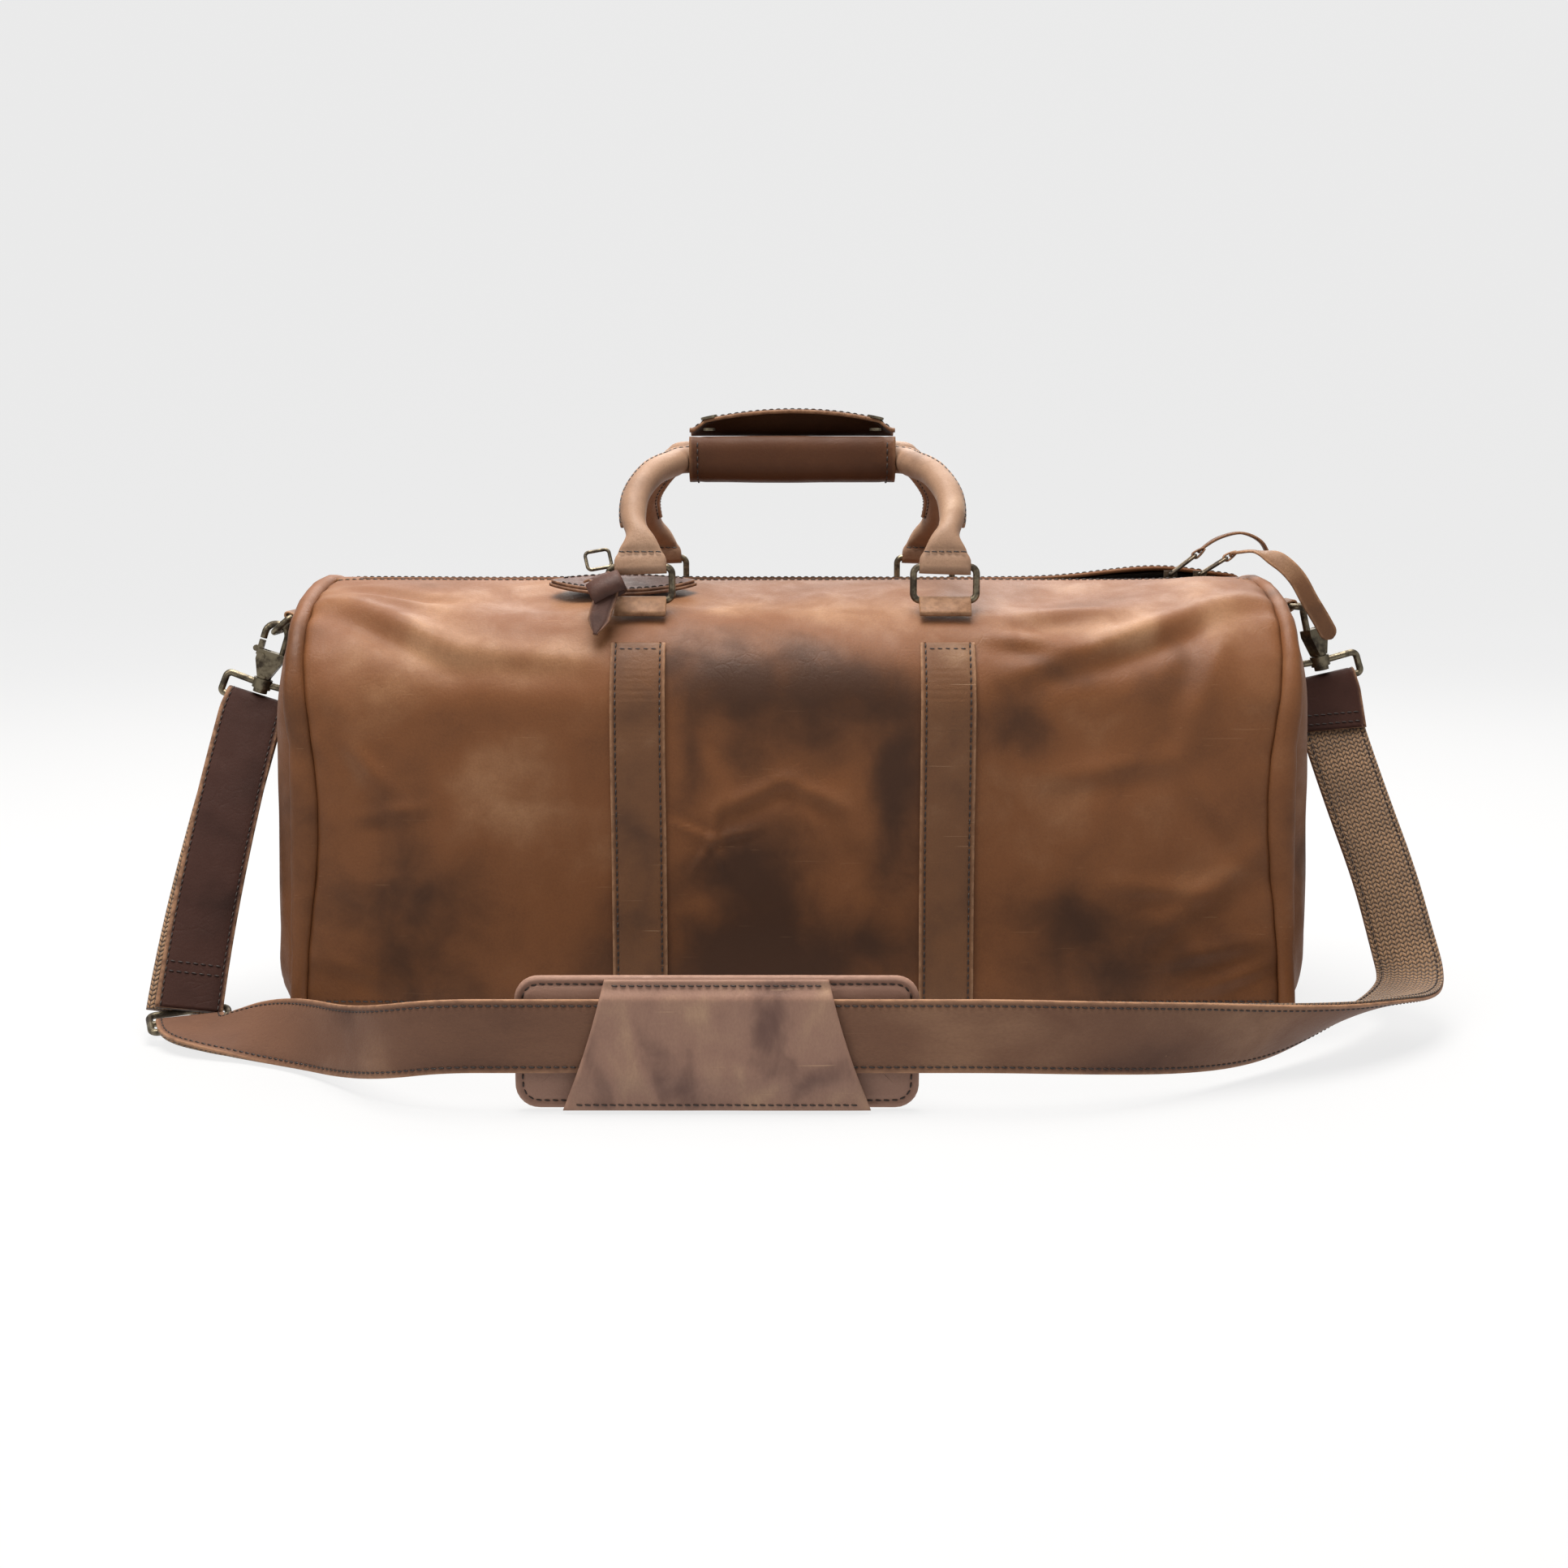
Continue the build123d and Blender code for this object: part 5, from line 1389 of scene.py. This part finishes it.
def folded(centre, wide, far_end, far_wide, off, arrive=None, fan=0.0):
    """The path and the width directions of a strap that is folded over the bar at centre.  Each
    ply is the cubic that leaves the bar straight down and arrives in the direction given.  fan
    moves the rear ply's end sideways."""
    down = unit((far_end - centre) - wide * np.dot(far_end - centre, wide))
    normal = np.cross(wide, down)
    away = unit(far_end - centre)
    far_wide = unit(far_wide - away * np.dot(far_wide, away))
    far_normal = np.cross(far_wide, away)
    turn = np.linspace(0, pi, 25)[:, None]
    arc = centre + off * (normal * np.cos(turn) - down * np.sin(turn))
    straight = centre + down * 10 * mm
    share = np.linspace(0, 1, 60)[:, None]
    eased = share * share * (3 - 2 * share)

    def side(sign):
        near = straight + sign * normal * off
        far = far_end + sign * far_normal * off - far_wide * (fan if sign > 0 else 0)
        span = np.linalg.norm(far - near)
        leave = meet = far - near
        if arrive is not None:
            leave, meet = 0.75 * leave + 0.25 * down * span, 0.75 * meet + 0.25 * arrive * span
        return cubic(share, near, leave, far, meet)

    wides = wide * (1 - eased) + far_wide * eased
    path = np.concatenate([side(1)[::-1], arc, side(-1)])
    across = np.concatenate([wides[::-1], np.tile(wide, (25, 1)), wides])
    return even(path, 2 * mm, across)


left_bar, left_wide = hung(-1, *anchors["left"], 40, 18)
right_bar, right_wide = hung(1, *anchors["right"], 5, 13)
print("strap bars at", left_bar.round(4), right_bar.round(4))

# %% The doubled part at the left
adjuster_wide = unit([0.94, 0.33, 0.05])
adjuster_down = unit([0.332, -0.904, -0.269])
short_end = np.array([-0.347, -0.116, 0.011]) - adjuster_down * 6 * mm + (0, 0, 1.5 * mm)
middle, across = folded(
    left_bar, left_wide, short_end, adjuster_wide, loop_wire + fold_gap + 1.0 * mm,
    arrive=unit(adjuster_down - (0, 0, 0.9)), fan=5 * mm,
)
profile, wear = strap_profile(strap_width, 1.9 * mm, 3.0 * mm, low=-0.15 * mm)
wear = np.maximum(wear, np.exp(-(((strap_width / 2 + profile[:, 0]) / (2.4 * mm)) ** 4)))
# the doubled part takes the darker strap leather with its painted shade
doubled = strip("doubled_strap", middle, across, profile, "bag", dark_and_shaded_strap_finish, "strap_leather", wear)
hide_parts("strap_short_loop")
inner_profile, _ = strap_profile(strap_width - 0.5 * mm, 1.5 * mm)
inner_profile = inner_profile * (1, -1) - (0, 0.2 * mm)
doubled_back = strip("doubled_strap_webbing", middle, across, inner_profile, "bag", webbing, "webbing")
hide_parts("strap_short_loop")
across_now, up = across_and_up(middle, across)
for edge in (-1, 1):
    seam(middle + across_now * edge * (strap_width / 2 - 3 * mm) + up * 1.6 * mm, up, group="strap")
for back_from_end in (24 * mm, 31 * mm):
    step = int(back_from_end / (2 * mm))
    for side in (step, -step):
        row = np.linspace(4 * mm - strap_width / 2, strap_width / 2 - 4 * mm, 12)[:, None]
        seam(middle[side] + across_now[side] * row + up[side] * 1.75 * mm, up[side], group="strap")
half_way = len(middle) // 2
plies = (middle[:half_way] + middle[::-1][:half_way]) / 2
doubled_length = float(distance_along(plies)[-1])
print("doubled part", round(doubled_length, 3), "m long")

# %% The end tab at the right
strap_top = route[-2]
tab_end = right_bar + unit(strap_top - right_bar) * 34 * mm
middle, across = folded(right_bar, right_wide, tab_end, widths[-1], loop_wire + fold_gap + 0.9 * mm)
profile, wear = strap_profile(strap_width, 1.8 * mm, 2.6 * mm, low=-0.9 * mm)
# the end tab shares the darker strap leather with its painted shade
end_tab = strip("strap_end_fold", middle, across, profile, "bag", dark_and_shaded_strap_finish, "strap_leather", wear)
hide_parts("strap_end_tab")
across_now, up = across_and_up(middle, across)
for back_from_end in (3, 8):
    for side in (back_from_end // 2 + 1, -(back_from_end // 2) - 2):
        row = np.linspace(3 * mm - strap_width / 2, strap_width / 2 - 3 * mm, 12)[:, None]
        seam(middle[side] + across_now[side] * row + up[side] * 0.85 * mm, up[side], group="strap")
print("end tab folded")

# %% [markdown]
# ## The shoulder pad
#
# The pad is a foam cushion in two skins of leather, sewn together round the rim, so its faces
# are crowned and dip along the seam.  Both faces are one grid each, from the rim inwards.  The
# trapezoid cover is sewn to it along its top and bottom edges, and the strap slides between.

# %% Pad
pad_low, pad_high = corners("shoulder_pad")
pad_middle = (pad_low + pad_high) / 2
pad_half = (pad_high - pad_low) / 2


def rounded_box(angle, half_x, half_z, corner):
    """Points round a box with round corners: the corner's own circle, moved out to each corner.
    Directions go evenly round, and the sides are the straight lines between the arcs."""
    turn = (angle / (pi / 2)).astype(int)
    sign_x = np.where((turn == 0) | (turn == 3), 1, -1)
    sign_z = np.where(turn < 2, 1, -1)
    return (
        sign_x * (half_x - corner) + corner * np.cos(angle),
        sign_z * (half_z - corner) + corner * np.sin(angle),
    )


def rim_of(half_x, half_z, corner, gap):
    """A rounded box's rim as an even path in the XZ plane, and its outward directions."""
    angle = np.concatenate([k * pi / 2 + np.linspace(0, pi / 2, 12) * 0.9999 for k in range(4)])
    x, z = rounded_box(angle, half_x, half_z, corner)
    rim = np.stack([x, z], 1)
    rim = np.concatenate([rim, rim[:1]])
    far = distance_along(rim)
    where = np.linspace(0, far[-1], int(far[-1] / gap) + 1)[:-1]
    rim = np.stack([np.interp(where, far, rim[:, k]) for k in range(2)], 1)
    ahead = unit(np.roll(rim, -1, 0) - np.roll(rim, 1, 0))
    return rim, np.stack([ahead[:, 1], -ahead[:, 0]], 1)


corner_radius, pad_edge = 11.8 * mm, 0.3 * mm
rim, rim_out = rim_of(pad_half[0] - pad_edge, pad_half[2] - pad_edge, 12 * mm, 3 * mm)
inset = np.array([0, 0.4, 1.2, 2.4, 3.4, 4.0, 4.6, 5.6, 7.5, 10, 13, 17, 22, 28, 33.4]) * mm
crown = 1.6 * mm + 2.5 * mm * ease(inset, 0, 1.2 * mm)
crown -= 1.1 * mm * np.exp(-(((inset - 4.0 * mm) / (1.1 * mm)) ** 2))
crown += 0.9 * mm * ease(inset, 4.5 * mm, 18 * mm) - 1.2 * mm
crown[0] = 0.9 * mm
spots = []
for depth in inset:
    # inwards along the rim's own directions to the corners' centres, then straight in
    spot = rim - rim_out * min(depth, corner_radius)
    left_over = max(depth - corner_radius, 0)
    spots.append(np.sign(spot) * np.maximum(np.abs(spot) - left_over, 0))


def pad_face(way):
    """The rings of one face of the pad, from its rim inwards.  way is -1 for the front."""
    rings = []
    for (x, z), tall in zip((spot.T for spot in spots), crown):
        out = min(tall, 4.1 * mm) + 0.25 * mm * cloud(x, z, 0.02, 101)
        rings.append(np.stack([pad_middle[0] + x, pad_middle[1] + way * out, pad_middle[2] + z], 1))
    return rings


outer, rear = pad_face(-1), pad_face(1)
rings = np.stack(outer[::-1] + rear)
at_rim = np.exp(-((inset / (0.9 * mm)) ** 2))
worn = np.concatenate([at_rim[::-1], at_rim])[:, None]
pad = tube("shoulder_pad_leather", rings, "strap_pad", pad_finish, "dark_leather", wear=worn)
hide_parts("shoulder_pad")
closed = lambda path: np.concatenate([path, path[:1]])
seam(closed(outer[5]), (0, -1, 0), "strap_pad", "pad")
seam(closed(rear[5]), (0, 1, 0), "strap_pad", "pad")
print("pad", len(pad.data.polygons), "faces")

# %% The cover over the strap
cover_low, cover_high = corners("pad_cover")
cover_x = (cover_low[0] + cover_high[0]) / 2
strap_low_z, strap_high_z = 19.0 * mm, 61.0 * mm
v = np.linspace(0, 1, 48)
u = np.linspace(-1, 1, 60)
us, vs = np.meshgrid(u, v, indexing="ij")
zs = cover_low[2] + 0.3 * mm + (cover_high[2] - cover_low[2] - 0.6 * mm) * vs
cover_foot, cover_top = 156 * mm, 113 * mm
half = (cover_foot + (cover_top - cover_foot) * vs) / 2 - 1.5 * mm * np.sin(pi * vs)
over = ease(zs, strap_low_z - 13 * mm, strap_low_z + 2 * mm)
over *= 1 - ease(zs, strap_high_z - 2 * mm, strap_high_z + 5 * mm)
front = cover_low[1] + 0.2 * mm
base_y = cover_high[1] - 4.6 * mm
stand = base_y + (front - base_y) * over - 0.25 * mm * cloud(us * 0.07, zs, 0.02, 103)
face = np.stack([cover_x + us * half, stand, zs], -1)
back = face + (0, 1.7 * mm, 0)
reach_in = np.minimum((1 - np.abs(us)) * half, np.minimum(vs, 1 - vs) * 68 * mm)
cover = sheet_mesh(
    "pad_cover_leather", face, back, "strap_pad", cover_finish, "dark_leather", np.stack([us * half, zs], -1),
    wear=np.exp(-((reach_in / (1.0 * mm)) ** 2)),
)
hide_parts("pad_cover")
for row in (2, 45):
    seam(face[2:-2, row], (0, -1, 0), "strap_pad", "pad")
print("cover", len(cover.data.polygons), "faces")

# %% [markdown]
# ## Small leather: zip pulls, D-ring tabs and the luggage tag

# %% Zip pulls
pull_runs = {
    "left": ([(0.2490, 0, 0.2752), (0.251, 0.001, 0.2775), (0.262, 0.005, 0.284), (0.276, 0.007, 0.287),
              (0.288, 0.007, 0.282), (0.294, 0.007, 0.272)], 8 * mm),
    "right": ([(0.2683, 0, 0.2733), (0.2705, -0.002, 0.275), (0.282, -0.010, 0.276), (0.294, -0.018, 0.271),
               (0.304, -0.023, 0.261), (0.312, -0.025, 0.247), (0.319, -0.025, 0.236),
               (0.326, -0.025, 0.224)], 11 * mm),
}
pull_finish = {"left": grip_leather, "right": band_leather}
# each link's foot on its slider, the height of both, how steeply they lean and how far they reach
link_x, link_z = {"left": 0.232, "right": 0.250}, 0.261896
link_lean, link_reach = {"left": 38, "right": 32}, 19 * mm
for label, (points, width) in pull_runs.items():
    run = through(points, 1 * mm)
    far = distance_along(run)
    narrow = 0.30 + 0.70 * ease(far, 1 * mm, 16 * mm)
    end = np.clip((far[-1] - far) / (width / 2), 0, 1)
    shape = narrow * np.sqrt(np.clip(1 - (1 - end) ** 2, 0.02, 1))
    profile, wear = strap_profile(width, 1.7 * mm, low=-0.85 * mm)
    profile = np.tile(profile, (len(run), 1, 1))
    profile[..., 0] *= shape[:, None]
    turned = ease(far, 14 * mm, 34 * mm)[:, None] if label == "right" else np.zeros((len(run), 1))
    wide = np.array([0, 1.0, 0]) * (1 - turned) + np.array([0.88, 0.1, 0.45]) * turned
    piece = strip(
        f"{label}_pull_leather", run, wide, profile, f"{label}_pull", pull_finish[label], "dark_leather", wear
    )
    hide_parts(f"pull_strap_{label}")
    # the eye that is folded round the link
    lean = radians(link_lean[label])
    along = np.array([cos(lean), 0, sin(lean)])
    eye = np.array([link_x[label], 0, link_z]) + along * link_reach
    normal = np.array([-along[2], 0, along[0]])
    path = loop_path(eye, normal, along, 1.9 * mm, 7 * mm, (0.4 * mm, 0.4 * mm))
    eye_profile, eye_wear = strap_profile(3.4 * mm, 1.1 * mm, low=-0.5 * mm)
    piece = strip(
        f"{label}_pull_eye", path, np.tile((0, 1.0, 0), (len(path), 1)), eye_profile, f"{label}_pull",
        pull_finish[label], "dark_leather", eye_wear,
    )
    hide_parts(f"pull_strap_{label}")
print("zip pulls hung")

# %% D-ring tabs
tab_profile, tab_wear = strap_profile(22.4 * mm, 1.7 * mm, 2.2 * mm)
for label, sign in both_ends:
    anchor_x, anchor_z = anchors[label]
    centre = np.array([sign * anchor_x, 0, anchor_z])
    toward = np.array([-sign * 0.93, 0, -0.36])
    normal = np.array([sign * 0.36, 0, 0.93])
    path = loop_path(centre, normal, toward, 2.35 * mm, 13 * mm, (0.6 * mm, 0.3 * mm))
    wide = np.tile((0, float(sign), 0), (len(path), 1))
    piece = strip(
        f"{label}_d_ring_leather", path, wide, tab_profile, "bag", band_leather, "band_leather", tab_wear
    )
    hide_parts(f"{label}_d_ring_tab")
print("D-ring tabs sewn")

# %% Luggage tag
tag_low, tag_high = corners("tag_body")
tag_middle = (tag_low + tag_high) / 2
# the tag leans with the shoulder, 51 mm in front of the zip
slope, tag_half, tag_thickness = 51 * mm / crown_radius, 43.5 * mm, 1.7 * mm
u = np.linspace(-1, 1, 70)
v = np.linspace(-1, 1, 26)
us, vs = np.meshgrid(u, v, indexing="ij")
leaf = 19 * mm * (1 - np.abs(us) ** 2.1) ** 0.9 + 0.3 * mm
x = tag_middle[0] + us * tag_half
off_middle = vs * leaf
for name, low, share in (("tag_leather_back", -1.9 * mm, 1.0), ("tag_leather_front", -0.1 * mm, 0.97)):
    curl = 1.0 * mm * us**4 + 0.5 * mm * cloud(us * 0.04, vs * 0.02, 0.03, 111) * (1 - us**2)
    y = tag_middle[1] + off_middle * share
    z = tag_middle[2] + off_middle * share * slope + low + curl
    face = np.stack([tag_middle[0] + us * tag_half * share, y, z + tag_thickness], -1)
    back = face - (0, 0, tag_thickness)
    reach_in = np.minimum((1 - np.abs(vs)) * leaf, (1 - np.abs(us)) * 43 * mm)
    edge_wear = np.exp(-((reach_in / (1.0 * mm)) ** 2))
    piece = sheet_mesh(name, face, back, "luggage_tag", tag_leather, "dark_leather", wear=edge_wear)
    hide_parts("tag_body")
for sign in (-1, 1):
    row = np.stack([x[6:-6, 0], tag_middle[1] + sign * (leaf[6:-6, 0] - 2.4 * mm),
                    face[6:-6, 13, 2] + sign * (leaf[6:-6, 0] - 2.4 * mm) * slope], 1)
    seam(row, (0, 0, 1), "luggage_tag", "tag")

strap_low, strap_high = corners("tag_strap")
middle = (strap_low + strap_high) / 2
angle = np.linspace(0, 2 * pi, 73)[:-1]
half = (strap_high - strap_low) / 2 - 0.85 * mm
ring_x = half[0] * squared_off(np.cos(angle), 0.6)
ring_y = half[1] * squared_off(np.sin(angle), 0.6)
path = np.stack([middle[0] + ring_x, middle[1] + ring_y, np.full_like(angle, middle[2])], 1)
out = unit(np.stack([ring_x, ring_y, 0 * angle], 1))
belt = np.array([(-0.8, -3.9), (0.8, -3.9), (0.95, 0), (0.8, 3.9), (-0.8, 3.9), (-0.95, 0)]) * mm
rings = path[:, None] + out[:, None] * belt[:, :1] + np.array([0, 0, 1.0]) * belt[:, 1:]
piece = tube("tag_strap_leather", rings, "bag", tag_leather, "dark_leather", ring_closed=True)
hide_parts("tag_strap")
# the strap's tail comes forward through the ring, turns over and lies on the shoulder
tail = np.array([(-8, 3, 3), (-3, -8, 4), (1, -15, -3), (-2, -20, -14), (-5, -26, -27)]) * mm
tail = through(middle + tail, 1 * mm)
far = distance_along(tail)
tail_profile, tail_wear = strap_profile(13 * mm, 1.5 * mm, 2 * mm)
tail_profile = np.tile(tail_profile, (len(tail), 1, 1))
tail_profile[..., 0] *= np.clip((far[-1] - far) / (9 * mm), 0.12, 1)[:, None] ** 0.7
wide = np.tile((0.93, 0.1, 0.35), (len(tail), 1))
piece = strip(
    "tag_strap_tail", tail, wide, tail_profile, "front_rings", tag_leather, "dark_leather", tail_wear
)
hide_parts("tag_strap")
keeper = tail[int(len(tail) * 0.42)]
angle = np.linspace(0, 2 * pi, 29)[:-1]
along_keeper, over = unit([0.90, 0.1, 0.42]), unit([-0.1, -0.9, 0.42])
round_it = (
    keeper + along_keeper * (9.5 * mm * squared_off(np.cos(angle), 0.5))[:, None]
    + over * (3.0 * mm * squared_off(np.sin(angle), 0.7) + 0.6 * mm)[:, None]
)
out = unit(round_it - round_it.mean(0))
high = unit(np.cross(along_keeper, over))
belt = np.array([(-0.7, -6.5), (0.7, -6.5), (0.9, 0), (0.7, 6.5), (-0.7, 6.5), (-0.9, 0)]) * mm
rings = round_it[:, None] + out[:, None] * belt[:, :1] + high * belt[:, 1:]
piece = tube("tag_keeper", rings, "front_rings", tag_leather, "dark_leather", ring_closed=True)
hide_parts("tag_strap")
print("tag tied on")

# %% Sew everything
sew(thread)

# %% [markdown]
# ## Paper ground and soft lamps
#
# The floor is one strip of pale paper that rises behind the bag, so no line divides floor from
# wall.

# %% Ground
x = np.linspace(-9, 9, 25)
bend = np.linspace(0, pi / 2, 24)[1:]
path = np.concatenate([
    np.stack([np.linspace(-5, 3.5, 30), np.full(30, -0.5 * mm)], 1),
    np.stack([3.5 + 2.5 * np.sin(bend), 2.5 - 2.5 * np.cos(bend)], 1),
    np.stack([np.full(8, 6.0), np.linspace(2.6, 7, 8)], 1),
])
ground_points = np.stack(np.broadcast_arrays(x[:, None], path[:, 0], path[:, 1]), -1)
ground_mesh = bpy.data.meshes.new("paper_ground")
faces, _ = squares(len(x), len(path))
ground_mesh.from_pydata(ground_points.reshape(-1, 3).tolist(), [], faces.tolist())
ground_mesh.shade_smooth()
ground = bpy.data.objects.new("paper_ground", ground_mesh)
bpy.context.collection.objects.link(ground)
paper, n, shader = new_finish("paper")
shader.inputs["Base Color"].default_value = (0.10, 0.10, 0.10, 1)
shader.inputs["Emission Color"].default_value = (1, 1, 1, 1)
shader.inputs["Emission Strength"].default_value = 0.78
shader.inputs["Roughness"].default_value = 0.95
shader.inputs["Specular IOR Level"].default_value = 0.1
ground_mesh.materials.append(paper)


# %% Lamps
def lamp(name, place, aim, size, power, colour=(1, 1, 1)):
    """A square soft light that faces the point it is aimed at."""
    data = bpy.data.lights.new(name, "AREA")
    data.size, data.energy, data.color = size, power, colour
    piece = bpy.data.objects.new(name, data)
    piece.location = place
    piece.rotation_euler = (Vector(aim) - Vector(place)).to_track_quat("-Z", "Y").to_euler()
    bpy.context.collection.objects.link(piece)


lamp("overhead", (-0.2, -0.25, 1.9), (0, 0, 0.15), 1.3, 68, (1.0, 0.97, 0.93))
lamp("behind", (0.2, 1.3, 1.7), (0, 0, 0.25), 1.5, 34, (1.0, 0.97, 0.93))
lamp("left_front", (-1.9, -1.6, 1.5), (0, 0, 0.15), 1.0, 18, (1.0, 0.95, 0.88))
lamp("right_front", (2.0, -1.4, 1.3), (0, 0, 0.15), 1.4, 7)
world = bpy.data.worlds.new("studio")
bpy.context.scene.world = world
world.use_nodes = True
world.node_tree.nodes["Background"].inputs["Color"].default_value = (0.90, 0.90, 0.90, 1)
world.node_tree.nodes["Background"].inputs["Strength"].default_value = 0.25
bpy.context.scene.view_settings.view_transform = "Standard"
print("lamps lit")
